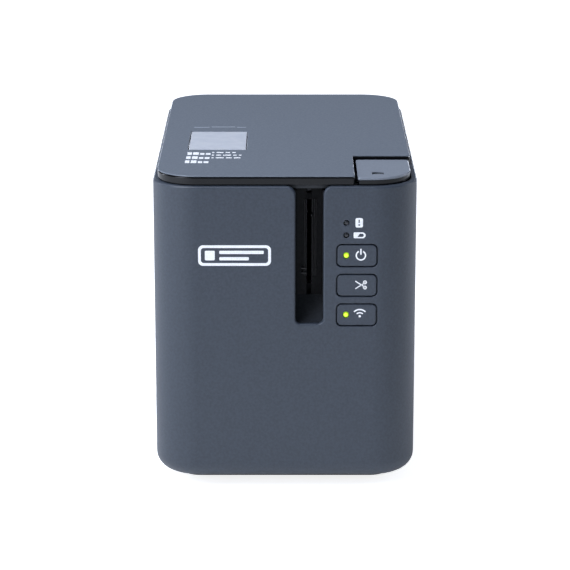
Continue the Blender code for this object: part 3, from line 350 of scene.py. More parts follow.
def litLens(name, x, z, radius):
    material, tree, shader = startMaterial(name, ior=1.49, roughness=0.22, glow=lampLook["glow"])
    where = addNode(tree, "ShaderNodeTexCoord")
    centred = addNode(tree, "ShaderNodeMapping", {"Vector": where.outputs["Object"],
                                                  "Location": (-x * mm, 0, -z * mm),
                                                  "Scale": (1, 0, 1)})
    away = addNode(tree, "ShaderNodeVectorMath", {0: centred.outputs["Vector"]}, operation="LENGTH")
    share = ranged(tree, away.outputs["Value"], 0.3 * radius * mm, radius * mm)
    colour = mixedColour(tree, share, lampLook["core"], lampLook["rim"])
    tree.links.new(colour, shader.inputs["Base Color"])
    tree.links.new(colour, shader.inputs["Emission Color"])
    relief(tree, shader, lumps(tree, lampLook["frostMm"]), 0.01)
    return material


# Unlit lamp lens: smoked acrylic, nearly black, with a small sharp glint.
darkLens, tree, shader = startMaterial("Smoked acrylic lens", ior=1.49, roughness=0.12, coat=0.3,
                                       coatRoughness=0.05)
colourBetween(tree, shader, lumps(tree, 0.8), "1A1C20", "24262B")
relief(tree, shader, lumps(tree, 0.6), 0.006)


# Pad-printed ink: opaque, dead flat film whose edge is a little uneven. Its glow is painted light: the ink gives off a
# little white light of its own, so it reads brighter than lamp-lit ink.
inkLookWithPaintedGlow = {"dark": "ECEEF0", "light": "FAFBFC", "grainMm": 0.3, "glow": 0.07}  # its white filler, and the strength of its painted glow
printInkWithPaintedGlow, tree, shader = startMaterial("Pad-printed ink, white, with painted glow", ior=1.5, roughness=0.5, specular=0.35,
                                       glow=inkLookWithPaintedGlow["glow"])
# painted light: the white that the ink glows with
shader.inputs["Emission Color"].default_value = linearColour(inkLookWithPaintedGlow["light"])
colourBetween(tree, shader, lumps(tree, inkLookWithPaintedGlow["grainMm"] * 2), inkLookWithPaintedGlow["dark"], inkLookWithPaintedGlow["light"])
relief(tree, shader, lumps(tree, inkLookWithPaintedGlow["grainMm"]), 0.004)

paleInk, tree, shader = startMaterial("Pad-printed ink, silver grey", ior=1.5, roughness=0.42, specular=0.45)
colourBetween(tree, shader, lumps(tree, 0.7), "B4BCC8", "C8D0DA")
relief(tree, shader, lumps(tree, inkLookWithPaintedGlow["grainMm"]), 0.004)


# Zinc-plated sheet steel: cool bright grey, faint cloudy spangle and drawn scratches along the roll.
def platedSteel(name, dark, light, roughness, spangleMm, scratchMm, scratchDepthMm, stretch):
    material, tree, shader = startMaterial(name, metallic=1.0, roughness=roughness)
    cloud = lumps(tree, spangleMm, 4.0)
    colourBetween(tree, shader, cloud, dark, light)
    wanderRoughness(tree, shader, cloud, roughness - 0.07, roughness + 0.1)
    relief(tree, shader, lumps(tree, scratchMm, 2.0, stretch), scratchDepthMm)
    return material


zincSteel = platedSteel("Zinc-plated sheet steel", dark="A2A7AE", light="C2C7CD", roughness=0.34, spangleMm=5.0,
                        scratchMm=0.5, scratchDepthMm=0.004, stretch=(1, 0.04, 1))
toolSteel = platedSteel("Ground tool steel", dark="8F9398", light="B9BDC2", roughness=0.22, spangleMm=3.0,
                        scratchMm=0.35,
                        scratchDepthMm=0.004, stretch=(1, 1, 0.05))  # blades and shafts: brighter, with grinding lines
aluminium = platedSteel("Extruded aluminium, clear anodised", dark="A9ACAF", light="C3C6C9", roughness=0.38,
                        spangleMm=2.0,
                        scratchMm=0.3, scratchDepthMm=0.006, stretch=(1, 1, 0.05))  # satin, lines along the extrusion
tinPlate = platedSteel("Tin-plated steel", dark="B4B3AE", light="D2D1CC", roughness=0.3, spangleMm=1.5,
                       scratchMm=0.3,
                       scratchDepthMm=0.004, stretch=(1, 1, 1))  # socket shells: warmer and softer than zinc

# Gold flash over nickel on spring contacts: warm, fairly sharp reflections, thin spots where it has rubbed.
contactGold, tree, shader = startMaterial("Gold-flashed contacts", metallic=1.0, roughness=0.24)
colourBetween(tree, shader, lumps(tree, 1.2, 3.0), "B8964A", "E0BE6C")
relief(tree, shader, lumps(tree, 0.4), 0.003)


# Acetal, moulded natural: a milky white that light sinks into a little, waxy rather than glossy.
acetal, tree, shader = startMaterial("Moulded acetal, natural", ior=1.48, roughness=0.38, subsurface=0.08)
colourBetween(tree, shader, lumps(tree, 2.5), "D9D8D0", "E8E7E0")
relief(tree, shader, lumps(tree, 0.4), 0.006)


# Nitrile rubber, ground to size: dead matt dark grey with a fine ground nap.
nitrile, tree, shader = startMaterial("Ground nitrile rubber", ior=1.52, roughness=0.78, specular=0.3)
colourBetween(tree, shader, lumps(tree, 1.2, 3.0), "1F1F20", "2A2A2B")
relief(tree, shader, lumps(tree, 0.35, 3.0), 0.03)


# Glass-fibre board under solder mask: glossy green, with the copper tracks raised a few hundredths beneath it.
boardLook = {"mask": "1B4A33", "track": "2B6A49", "trackMm": 1.6, "trackDepthMm": 0.03}
solderMask, tree, shader = startMaterial("Solder mask over copper", ior=1.5, roughness=0.3, coat=0.3,
                                         coatRoughness=0.15)
where = addNode(tree, "ShaderNodeTexCoord")
tracks = addNode(tree, "ShaderNodeTexVoronoi", {"Vector": where.outputs["Object"],
                                                "Scale": 1 / (boardLook["trackMm"] * 2 * mm)},
                 distance="CHEBYCHEV", feature="F1")
edges = ranged(tree, tracks.outputs["Distance"], 0.3, 0.36)
colourBetween(tree, shader, edges, boardLook["mask"], boardLook["track"], 0, 1)
relief(tree, shader, edges, boardLook["trackDepthMm"])


# Coated paper label: bright, smooth, with a hint of fibre under the coating.
coatedPaper, tree, shader = startMaterial("Coated paper label", ior=1.45, roughness=0.48, specular=0.4)
colourBetween(tree, shader, lumps(tree, 1.5, 3.0), "DADDE0", "E9EBEE")
relief(tree, shader, lumps(tree, 0.5, 3.0, (1, 0.3, 1)), 0.008)


# Glazed alumina: the print head's plate, hard white with a wet-looking glaze.
glazedAlumina, tree, shader = startMaterial("Glazed alumina", ior=1.7, roughness=0.14, coat=0.3,
                                            coatRoughness=0.05)
colourBetween(tree, shader, lumps(tree, 2.0), "D8D6CF", "E6E4DD")
relief(tree, shader, lumps(tree, 1.2), 0.004)
print("materials made")


# Case. Its outline, slot and key openings come from the part; only edge rounds and finish are set here.
case = {"cornerRadius": 20.0, "wall": 2.5, "bottomRound": 7.6, "topRound": 1.0, "slotRound": 0.9,
        "keyRound": 0.35,
        "lampRound": 0.25, "arcSteps": 20}
frontX, frontY, caseZ = limitsOf("front_case")
rearY = limitsOf("rear_cover")[1]
halfX, halfY = frontX[1], rearY[1]
parting = frontY[1]


def caseOutline(inset):
    a, b, radius = halfX - inset, halfY - inset, max(case["cornerRadius"] - inset, 2.0)
    return roundedOutline([(-a, -b, radius), (a, -b, radius), (a, b, radius), (-a, b, radius)],
                          case["arcSteps"])


chuteX, chuteY, chuteZ = limitsOf("label_chute")
chuteWall = 2.5
slot = {"left": chuteX[0] + 2.2, "right": chuteX[1] - 2.2, "bottom": chuteZ[0] + chuteWall, "bottomRadius": 2.5,
        "topRadius": 4.0}


def slotOutline(inset):  # open at the top, where its corners flare out onto the top edge
    left, right, bottom = slot["left"] + inset, slot["right"] - inset, slot["bottom"] + inset
    flare, top = slot["topRadius"] - inset, caseZ[1]
    return roundedOutline([(left, bottom, slot["bottomRadius"] - inset),
                           (right, bottom, slot["bottomRadius"] - inset),
                           (right, top, flare), (right + 12, top, 0), (right + 12, top + 8, 0),
                           (left - 12, top + 8, 0),
                           (left - 12, top, 0), (left, top, flare)], 8)


keys = ["power", "cut", "wireless"]
keyFaces = {}
flange = 1.1  # how far the flange behind a key reaches past its face
for name in keys:
    x, y, z = limitsOf(name + "_button")
    keyFaces[name] = ((x[0] + flange, x[1] - flange), y, (z[0] + flange, z[1] - flange))
keyGap = 0.5


def keyOutline(name, grow, radius=2.0):
    x, y, z = keyFaces[name]
    return rectangle((x[0] - grow, x[1] + grow), (z[0] - grow, z[1] + grow), radius + grow, 8)


def lampPlace(node):
    x, y, z = middleOf(node)
    return x, z, halfWidthOf(node)


bottomPlate = 2.5  # how thick the flange under the case is
caseHollow = [slab(lambda inset: caseOutline(inset + case["wall"]), caseZ[0] + bottomPlate, caseZ[1] + 5, 1.5),
              push(caseOutline(15), caseZ[0] - 5, caseZ[0] + 10)]
frontCuts = [*caseHollow, block((-80, 80), (parting, 120), (0, 160))]
inner = frontY[0] + case["wall"]
frontCuts.append(flared(slotOutline, inner + 1, frontY[0], case["slotRound"], steps=6))
for name in keys:
    frontCuts.append(flared(lambda inset: keyOutline(name, keyGap - inset), inner + 1, frontY[0],
                            case["keyRound"], steps=4))
for node in ("tape_lamp", "battery_lamp"):
    x, z, radius = lampPlace(node)
    hole = lambda inset: circle(x, z, radius + 0.3 - inset, 40)
    frontCuts.append(flared(hole, inner + 1, frontY[0], case["lampRound"], steps=4))


def caseShell(cuts):
    return carve(slab(caseOutline, caseZ[0], caseZ[1], case["bottomRound"], case["topRound"], steps=8), *cuts)


boss = {"x": 45, "z": (77.0, 126.0), "radius": 2.5}  # the panel board rests on these two
bossEnds = (inner - 0.4, limitsOf("panel_board")[1][0] - 0.3)
bosses = [turned([(boss["radius"], level) for level in bossEnds], boss["x"], z, "Y") for z in boss["z"]]
place("frontCase", weld(caseShell(frontCuts), *bosses), caseAbs, "case", ["front_case"], crease=28)

rearCuts = [*caseHollow, block((-80, 80), (-120, rearY[0]), (0, 160))]
lipX, notchZ = 49.5, 136.5  # the opening over the rear wall that the lid's hinge side fills
notchOutline = roundedOutline([(-lipX, notchZ, 2), (lipX, notchZ, 2), (lipX, 150, 0), (-lipX, 150, 0)])
rearCuts.append(push(notchOutline, halfY - 10.5, halfY + 1, "Y"))
socketCorners = {"power_inlet": 1.5, "computer_socket": 1.0, "serial_socket": 1.2}
for node, radius in socketCorners.items():
    x, y, z = limitsOf(node)
    rearCuts.append(flared(shrinking(x, z, radius, 5, 0.4), halfY - case["wall"] - 1, halfY, 0.5, steps=4))
place("rearCover", caseShell(rearCuts), caseAbs, "case", ["rear_cover"], crease=28)
print("case shells made")


# Lid: a polished black frame, a grained grey cover set into it, a clear pane and a liner under them.
lid = {"coverLip": 0.5, "coverRound": 0.45, "frameRound": 0.45, "frameTopRound": 0.6, "pocketInset": 3.7,
       "coverInset": 2.0, "frameInset": 2.1, "windowRound": 0.3, "windowRadius": 1.0, "notchInner": 1.5,
       "notchOuter": 1.0}
buttonX, buttonY, buttonZ = limitsOf("release_button")
coverZ = limitsOf("lid_cover")[2]
notchX, notchY = buttonX[0] - 1.6, buttonY[1] + 4.3  # the corner that the release button fills
top = coverZ[1]


def lidOutline(inset):
    a, b, radius = halfX - inset, halfY - inset, case["cornerRadius"] - inset
    x, y = notchX - (inset - lid["coverInset"]), notchY + (inset - lid["coverInset"])
    inner = max(lid["notchInner"] + (inset - lid["coverInset"]), 0.2)
    outer = max(lid["notchOuter"] - (inset - lid["coverInset"]) * 0.3, 0.3)
    return roundedOutline([(-a, -b, radius), (x, -b, outer), (x, y, inner), (a, y, outer), (a, b, radius),
                           (-a, b, radius)], 16)


paneX, paneY, paneZ = limitsOf("lid_window")
frameZ = limitsOf("lid_frame")[2]
frameTop = top - lid["coverLip"] - 0.25
frameLow = limitsOf("lid_liner")[2][1] + 0.3
windowHole = shrinking(paneX, paneY, lid["windowRadius"], 6, 1.2)
coverPlate = slab(lambda inset: lidOutline(lid["coverInset"] + inset), top - lid["coverLip"], top, 0,
                  lid["coverRound"], steps=6)
coverCore = slab(lambda inset: lidOutline(lid["pocketInset"] + 0.3 + inset), coverZ[0],
                 top - lid["coverLip"] + 0.2)
coverCuts = [flared(windowHole, coverZ[0] - 1, top, lid["windowRound"], "Z", 4)]
place("lidCover", carve(weld(coverPlate, coverCore), *coverCuts), lidAbs, "lid", ["lid_cover"],
      crease=35)

sight = rectangle((paneX[0] + 1.1, paneX[1] - 1.1), (paneY[0] + 1.1, paneY[1] - 1.1), 0.8)
hingeY, hingeZ = 91.0, 139.5
knuckleX, hookX, hookY, hookLow = (36.7, 41.7), (27.0, 29.4), (-74.5, -67.5), frameZ[0]
frameParts = []
for side in (-1, 1):
    a, b = sorted((side * knuckleX[0], side * knuckleX[1]))
    frameParts.append(push(circle(hingeY, hingeZ, 2.0, 40), a, b, "X"))
    frameParts.append(block((a, b), (hingeY - 2, hingeY + 2), (hingeZ, frameLow + 1)))
hookLine = [(hookX[0], frameLow + 1), (hookX[0], hookLow), (hookX[1] + 1.3, hookLow),
            (hookX[1] + 2.0, hookLow + 0.9),
            (hookX[1] + 2.0, hookLow + 2.4), (hookX[1], hookLow + 2.4), (hookX[1], frameLow + 1)]
frameParts.append(push(hookLine, hookY[0], hookY[1], "Y"))
frameParts.append(block((-knuckleX[1], knuckleX[1]), (hingeY + 0.9, hingeY + 2.5), (137.0, frameLow + 1)))
frameBody = slab(lambda inset: lidOutline(lid["frameInset"] + inset), frameLow, frameTop, lid["frameRound"],
                 lid["frameTopRound"], steps=6)
frameCuts = [push(lidOutline(lid["pocketInset"]), coverZ[0] - 0.3, top + 2), push(sight, frameLow - 4, top),
             push(circle(hingeY, hingeZ, 1.2, 24), -60, 60, "X")]
place("lidFrame", carve(weld(frameBody, *frameParts), *frameCuts), glossAbs, "lid", ["lid_frame"],
      crease=35)

paneShape = slab(shrinking(paneX, paneY, lid["windowRadius"] - 0.3, 6, 0.8), paneZ[0], top - 0.2, 0.1, 0.15,
                 steps=3)
place("lidPane", paneShape, paneWithPaintedLight, "lid", ["lid_window"])

linerY, linerZ = limitsOf("lid_liner")[1:]
linerCuts = [push(sight, linerZ[0] - 2, linerZ[1] + 2), block((-80, 80), (linerY[1], 120), (130, 150)),
             block((hookX[0] - 0.3, hookX[0] + 12), (hookY[0] - 0.3, hookY[1] + 0.3), (130, 150))]
linerBody = slab(lambda inset: lidOutline(5.0 + inset), linerZ[0], linerZ[1], 0.4, 0.2, steps=3)
place("lidLiner", carve(linerBody, *linerCuts), deckAbs, "lid", ["lid_liner"], crease=35)
print("lid made")


# Release button: a grey cap on a polished black skirt, with a dark arched mark let into the cap.
release = {"capDepth": 1.15, "capRound": 0.6, "seam": 0.06, "markX": (38.6, 43.9), "markY": -84.6,
           "markArch": 0.9,
           "markWidth": 4.2, "markDepth": 0.5}


def releaseOutline(inset):
    a, b, radius = halfX - 3.0 - inset, halfY - 3.0 - inset, case["cornerRadius"] - 3.0 - inset
    left, back = buttonX[0] - 0.35 + inset, buttonY[1] - inset
    return roundedOutline([(left, -b, 1.2), (a, -b, radius), (a, back, 1.2), (left, back, 1.2)], 14)


def archedStrip(grow):  # outline of the mark: a shallow arch with square ends
    steps, (left, right) = 12, release["markX"]
    line = []
    for step in range(steps + 1):
        share = step / steps
        rise = release["markArch"] * (1 - (2 * share - 1) ** 2)
        line.append((left - grow + (right - left + 2 * grow) * share, release["markY"] + rise))
    half = release["markWidth"] / 2 + grow
    return [(a, b - half) for a, b in line] + [(a, b + half) for a, b in reversed(line)]


seamZ = buttonZ[1] - release["capDepth"]
capShape = slab(releaseOutline, seamZ + release["seam"] / 2, buttonZ[1], 0, release["capRound"], steps=6)
capShape = carve(capShape, push(archedStrip(0), buttonZ[1] - release["markDepth"], buttonZ[1] + 1))
place("releaseCap", capShape, buttonAbs, "release", ["release_button"], crease=35)
markShape = push(archedStrip(-0.03), buttonZ[1] - release["markDepth"] - 0.02,
                 buttonZ[1] - release["markDepth"] + 0.12)
place("releaseMark", markShape, glossAbs, "release")
springX, springY = 48, -71  # the axis of the release spring
springTop = limitsOf("release_spring")[2][1]
stem = turned([(2.6, buttonZ[0]), (3.0, buttonZ[0] + 0.4), (3.0, 142.0)], springX, springY, "Z", 40)
skirt = slab(lambda inset: releaseOutline(0.12 + inset), springTop + 0.3, seamZ - release["seam"] / 2, 0.3, 0.1,
             steps=4)
springPocket = carve(push(circle(springX, springY, 5.5, 48), springTop - 2, springTop + 2.3),
                     push(circle(springX, springY, 3.6, 48), springTop - 4, springTop + 4))  # the spring rises into it
place("releaseSkirt", weld(carve(skirt, springPocket), stem), glossAbs, "release",
      crease=35)
print("release button made")


# Geometry Nodes: a row of rounded bars, each swept along its own length, for ribs, fins, grilles and contacts.
def barRowTree():
    tree = bpy.data.node_groups.new("Row of rounded bars", "GeometryNodeTree")
    tree.interface.new_socket("Geometry", in_out="INPUT", socket_type="NodeSocketGeometry")
    for name, kind, value in (("Count", "NodeSocketInt", 4), ("First", "NodeSocketVector", (0, 0, 0)),
                              ("Step", "NodeSocketVector", (0.002, 0, 0)),
                              ("Run", "NodeSocketVector", (0, 0, 0.01)),
                              ("Width", "NodeSocketFloat", 0.001), ("Depth", "NodeSocketFloat", 0.001),
                              ("Edge round", "NodeSocketFloat", 0.0002),
                              ("Material", "NodeSocketMaterial", None)):
        socket = tree.interface.new_socket(name, in_out="INPUT", socket_type=kind)
        if value is not None:
            socket.default_value = value
    tree.interface.new_socket("Geometry", in_out="OUTPUT", socket_type="NodeSocketGeometry")
    given = addNode(tree, "NodeGroupInput").outputs
    places = addNode(tree, "GeometryNodeMeshLine", {"Count": given["Count"], "Start Location": given["First"],
                                                      "Offset": given["Step"]}, mode="OFFSET")
    line = addNode(tree, "GeometryNodeCurvePrimitiveLine", {"End": given["Run"]})
    section = addNode(tree, "GeometryNodeCurvePrimitiveQuadrilateral",
                      {"Width": given["Width"], "Height": given["Depth"]})
    rounded = addNode(tree, "GeometryNodeFilletCurve", {"Curve": section.outputs["Curve"],
                                                         "Radius": given["Edge round"], "Count": 3},
                      mode="POLY")
    bar = addNode(tree, "GeometryNodeCurveToMesh", {"Curve": line.outputs["Curve"],
                                                    "Profile Curve": rounded.outputs["Curve"],
                                                    "Fill Caps": True})
    copies = addNode(tree, "GeometryNodeInstanceOnPoints",
                     {"Points": places.outputs["Mesh"], "Instance": bar.outputs["Mesh"]})
    real = addNode(tree, "GeometryNodeRealizeInstances", {"Geometry": copies.outputs["Instances"]})
    painted = addNode(tree, "GeometryNodeSetMaterial", {"Geometry": real.outputs["Geometry"],
                                                        "Material": given["Material"]})
    addNode(tree, "NodeGroupOutput", {"Geometry": painted.outputs["Geometry"]})
    return tree


def nodesMesh(tree, values):  # runs a tree and gives back one plain mesh
    item = bpy.data.objects.new("nodes", bpy.data.meshes.new("empty"))
    bpy.context.collection.objects.link(item)
    change = item.modifiers.new("nodes", "NODES")
    change.node_group = tree
    for socket in tree.interface.items_tree:
        if socket.in_out == "INPUT" and socket.name in values:
            change[socket.identifier] = values[socket.name]
    bpy.context.view_layer.update()
    mesh = bpy.data.meshes.new_from_object(item.evaluated_get(bpy.context.evaluated_depsgraph_get()))
    bpy.data.objects.remove(item)
    shape = bmesh.new()
    shape.from_mesh(mesh)
    bmesh.ops.remove_doubles(shape, verts=shape.verts, dist=1e-7)
    bmesh.ops.recalc_face_normals(shape, faces=shape.faces)
    shape.to_mesh(mesh)
    shape.free()
    return mesh


barRow = barRowTree()


def bars(count, first, step, run, width, depth, edge, material):  # all in millimetres
    sized = lambda values: tuple(v * mm for v in values)
    return nodesMesh(barRow, {"Count": count, "First": sized(first), "Step": sized(step), "Run": sized(run),
                              "Width": width * mm,
                              "Depth": depth * mm, "Edge round": edge * mm, "Material": material})


# Label chute: the black inside of the slot, with a scooped floor, a slit for the tape and guide ribs beside it.
chute = {"scoopSteps": 12, "ribCount": 3, "ribWidth": 0.45, "ribDepth": 1.1, "ribFirstX": 12.2,
         "ribStepX": 0.85,
         "ribLowZ": 97.5, "ribHighZ": 133.0, "nubZ": 125.8, "nubRadius": 0.75, "breakZ": 101.0}
slitX, slitLow = (9.9, 11.7), 88.1
wallY = chuteY[1] - chuteWall
floorLine = []
scoopFront = chuteY[0] - 0.4
for step in range(chute["scoopSteps"] + 1):
    share = step / chute["scoopSteps"]
    floorLine.append((scoopFront + (wallY - scoopFront) * share,
                      slot["bottom"] + (slitLow - slot["bottom"]) * share ** 1.5))
scoop = [(chuteY[0] - 2, slot["bottom"])] + floorLine + [(wallY, chuteZ[1] + 3), (chuteY[0] - 2, chuteZ[1] + 3)]
innerX = (slot["left"] + 0.3, slot["right"] - 0.3)
chuteCuts = [push(scoop, innerX[0], innerX[1], "X"), block(slitX, (wallY - 1, chuteY[1] + 1),
                                                           (slitLow, chuteZ[1] + 2))]
chuteBody = block(chuteX, chuteY, chuteZ, 0.6)
place("labelChute", carve(chuteBody, *chuteCuts), mattAbs, "case", ["label_chute"], crease=30,
      bevel=0.25)
ribRun = (0, 0, chute["ribHighZ"] - chute["ribLowZ"])
ribY = wallY - chute["ribDepth"] / 2 + 0.2
rightRibs = bars(chute["ribCount"], (chute["ribFirstX"], ribY, chute["ribLowZ"]), (chute["ribStepX"], 0, 0),
                 ribRun,
                 chute["ribWidth"], chute["ribDepth"], 0.15, mattAbs)
leftRibs = bars(2, (slitX[0] - 0.5, ribY, chute["ribLowZ"]), (-chute["ribStepX"], 0, 0), ribRun,
                chute["ribWidth"], chute["ribDepth"], 0.15, mattAbs)
stops = bars(2, (slitX[0] - 2.6, wallY - 0.9, chute["breakZ"]), (0, 0, -2.2), (2.4, 0, 0), 1.4, 0.8, 0.25,
             mattAbs)
nub = turned([(0.2, wallY - 2.4), (0.55, wallY - 2.25), (chute["nubRadius"], wallY - 1.8),
              (chute["nubRadius"], wallY + 0.2)], 11.9,
             chute["nubZ"], "Y", 24)
place("chuteRibs", gathered(rightRibs, leftRibs, stops, nub), glossAbs, "case", crease=40)
# A thin sheet on the scooped floor in that paler grey: painted light on the floor of the slot
scoopPaintedLightSheet = [(a, b + 0.02) for a, b in floorLine] + [(a, b + 0.35) for a, b in reversed(floorLine)]
place("chuteScoopPaintedLight", push(scoopPaintedLightSheet, innerX[0] + 0.05, innerX[1] - 0.05, "X"), scoopPaintedLightAbs, "case",
      crease=40)
print("label chute made")


# Keys: a shallow cap with rounded edges on a flange, a lens in two of them, pictograms printed on the face.
keyCap = {"faceRound": 0.45, "radius": 2.0, "lensGap": 0.3, "lensDome": 0.35}
for name in keys:
    (x, y, z) = keyFaces[name]
    face = slab(lambda inset: keyOutline(name, -inset, keyCap["radius"]), y[0], y[1] - 0.4, keyCap["faceRound"],
                0, "Y", 5)
    backing = push(keyOutline(name, flange, keyCap["radius"] - 0.8), frontY[0] + case["wall"] + 0.3, y[1], "Y")
    shape = weld(face, backing)
    if name + "_lamp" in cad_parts:
        lampX, lampZ, radius = lampPlace(name + "_lamp")
        hole = flared(lambda inset: circle(lampX, lampZ, radius + keyCap["lensGap"] - inset, 40), y[1] + 1,
                      y[0], 0.2, "Y", 3)
        shape = carve(shape, hole)
    place(name + "Key", shape, caseAbs, name + "_key", [name + "_button"], crease=35)


def lens(name, node, body, material):
    x, z, radius = lampPlace(node)
    front, back = limitsOf(node)[1]
    dome = keyCap["lensDome"]
    profile = [(radius * math.sin(math.pi / 2 * max(step, 0.6) / 6),
                front + dome * (1 - math.cos(math.pi / 2 * step / 6)))
               for step in range(7)]
    place(name, turned(profile + [(radius, back)], x, z, "Y", 32), material, body, [node], crease=50)


for name in ("power", "wireless"):
    x, z, radius = lampPlace(name + "_lamp")
    lens(name + "Lens", name + "_lamp", name + "_key", litLens("Lit acrylic lens, " + name, x, z, radius))
lens("tapeLens", "tape_lamp", "case", darkLens)
lens("batteryLens", "battery_lamp", "case", darkLens)
print("keys and lamps made")


# Printed marks: thin films of ink. Each is one outline or more, with holes cut where the ink stops.
ink = {"thickness": 0.05, "sunk": 0.02, "line": 0.62}


def film(outline, surface, way, axis):  # way is +1 or -1, the side of the surface that shows
    low, high = sorted((surface - way * ink["sunk"], surface + way * (ink["thickness"] - ink["sunk"])))
    return push(outline, low, high, axis)


def printed(name, outlines, surface, way, axis, material, body, holes=()):
    shapes = [film(outline, surface, way, axis) for outline in outlines]
    ready = gathered(*shapes) if not holes else carve(weld(*shapes) if len(shapes) > 1 else shapes[0],
                                                      *[push(hole, surface - 1, surface + 1, axis)
                                                        for hole in holes])
    place(name, ready, material, body, crease=40)


def arcBand(a, b, radius, width, first, last, steps=20):  # part of a ring, in degrees, with square ends
    angles = [math.radians(first + (last - first) * step / steps) for step in range(steps + 1)]
    outside = [(a + (radius + width / 2) * math.cos(t), b + (radius + width / 2) * math.sin(t)) for t in angles]
    inside = [(a + (radius - width / 2) * math.cos(t), b + (radius - width / 2) * math.sin(t))
              for t in reversed(angles)]
    return outside + inside


def stroke(a, b, width):  # a straight bar from point a to point b
    along = (Vector(b) - Vector(a)).normalized()
    aside = Vector((-along.y, along.x)) * width / 2
    start, end = Vector(a), Vector(b)
    return [tuple(start - aside), tuple(end - aside), tuple(end + aside), tuple(start + aside)]


# Above the keys: a tape that has run out and a battery, each beside its lamp.
tapeMark = rectangle((31.1, 34.4), (123.1, 127.4), 0.7)
tapeHoles = [rectangle((32.45, 33.0), (125.1, 126.7), 0.2), circle(32.75, 124.25, 0.4, 16)]
printed("tapeMark", [tapeMark], frontY[0], -1, "Y", printInkWithPaintedGlow, "case", tapeHoles)
batteryShell = roundedOutline([(30.3, 118.2, 0.5), (34.8, 118.2, 0.9), (35.6, 119.1, 0.2), (35.6, 120.0, 0.2),
                               (34.8, 120.9, 0.9), (30.3, 120.9, 0.5)], 4)
batteryHole = roundedOutline([(32.0, 118.8, 0.1), (34.4, 118.8, 0.3), (34.9, 119.5, 0.2), (34.4, 120.3, 0.3),
                               (33.1, 120.3, 0.1)], 3)
printed("batteryMark", [batteryShell], frontY[0], -1, "Y", printInkWithPaintedGlow, "case", [batteryHole])

# On the keys: a stroke in a broken ring, a pair of scissors, and waves above a dot.
powerAt, cutAt, wavesAt = (33.6, 110.3), (33.75, 96.75), (33.3, 81.85)
faceY = keyFaces["power"][1][0]
powerLines = [arcBand(*powerAt, 2.05, ink["line"], 90 + 28, 450 - 28, 36),
              stroke((powerAt[0], powerAt[1] + 0.35), (powerAt[0], powerAt[1] + 3.0), ink["line"])]
printed("powerMark", powerLines, faceY, -1, "Y", printInkWithPaintedGlow, "power_key")
x, z = cutAt
cutLines = [stroke((x - 2.5, z + side * 1.75), (x + 1.3, z - side * 0.7), 0.5) for side in (-1, 1)]
cutLines += [arcBand(x + 1.75, z + side * 1.2, 0.68, 0.42, 0, 359.9, 24) for side in (-1, 1)]
printed("cutMark", cutLines, faceY, -1, "Y", printInkWithPaintedGlow, "cut_key")
x, z = wavesAt
waveLines = [circle(x, z + 0.45, 0.55, 20), arcBand(x, z, 2.05, 0.6, 48, 132, 16),
             arcBand(x, z, 3.55, 0.62, 44, 136, 20)]
printed("wavesMark", waveLines, faceY, -1, "Y", printInkWithPaintedGlow, "wireless_key")

# On the front: a plain drawing of a printed label, in place of any name. An outline holds a block and two bars.
labelMark = {"x": (-38.5, -6.2), "z": (105.6, 115.0), "line": 1.25, "radius": 2.2}
mx, mz, line = labelMark["x"], labelMark["z"], labelMark["line"]
outer = rectangle(mx, mz, labelMark["radius"], 8)
window = rectangle((mx[0] + line, mx[1] - line), (mz[0] + line, mz[1] - line), labelMark["radius"] - line * 0.7,
                   8)
printed("labelOutline", [outer], frontY[0], -1, "Y", printInkWithPaintedGlow, "case", [window])
inside = [rectangle((mx[0] + 3.0, mx[0] + 7.4), (mz[0] + 2.5, mz[1] - 2.5), 0.5),
          rectangle((mx[0] + 9.4, mx[1] - 3.2), (mz[0] + 5.4, mz[0] + 6.9), 0.4),
          rectangle((mx[0] + 9.4, mx[1] - 9.8), (mz[0] + 2.5, mz[0] + 4.0), 0.4)]
printed("labelLines", inside, frontY[0], -1, "Y", printInkWithPaintedGlow, "case")

# On the lid: a broken rule above the pane, three bold rows of blocks and three fine rows of dashes below it.
rule = [stroke((left, b), (right, b), 0.7) for left, right,
        b in ((-43.6, -36.2, 10.6), (-35.2, -24.0, 11.4), (-23.0, -18.8, 10.6))]
printed("lidRule", rule, top, 1, "Z", paleInk, "lid")
boldRows, fineRows = [], []
for index, b in enumerate((-51.0, -59.6, -68.2)):
    a = -44.6 - 0.25 * index
    boldRows += [rectangle((a, a + 2.0), (b, b + 5.4), 0.3, 3),
                 rectangle((a + 2.6, a + 5.2), (b, b + 5.4), 0.3, 3),
                 rectangle((a + 5.8, a + 7.8), (b, b + 3.8), 0.3, 3),
                 rectangle((a + 8.4, a + 10.6), (b, b + 3.8), 0.3, 3)]
for index, b in enumerate((-47.0, -52.6, -58.2)):
    a = -33.4
    for length in ((1.0, 3.2, 2.0, 1.6), (1.0, 2.2, 3.6, 1.6, 1.2), (1.0, 3.6, 2.6, 3.0))[index]:
        fineRows.append(rectangle((a, a + length), (b, b + 1.9), 0.2, 2))
        a += length + 1.0
printed("lidBlocks", boldRows, top, 1, "Z", printInkWithPaintedGlow, "lid")
printed("lidDashes", fineRows, top, 1, "Z", printInkWithPaintedGlow, "lid")
print("marks printed")


# Pieces of the part that keep their shape and only take a finish.
dress(zincSteel, "chassis", "drive_plate", "hinge_bracket_left", "hinge_bracket_right", "latch_pin",
      "blade_pivot")
dress(toolSteel, "moving_blade", "fixed_blade", "platen_shaft", "holder_pin", "motor_pinion", "release_spring")
dress(acetal, "idler_gear", "platen_gear", "reduction_gear", "ribbon_spindle", "latch_lever", "cutter_cam")
dress(deckAbs, "roller_holder")


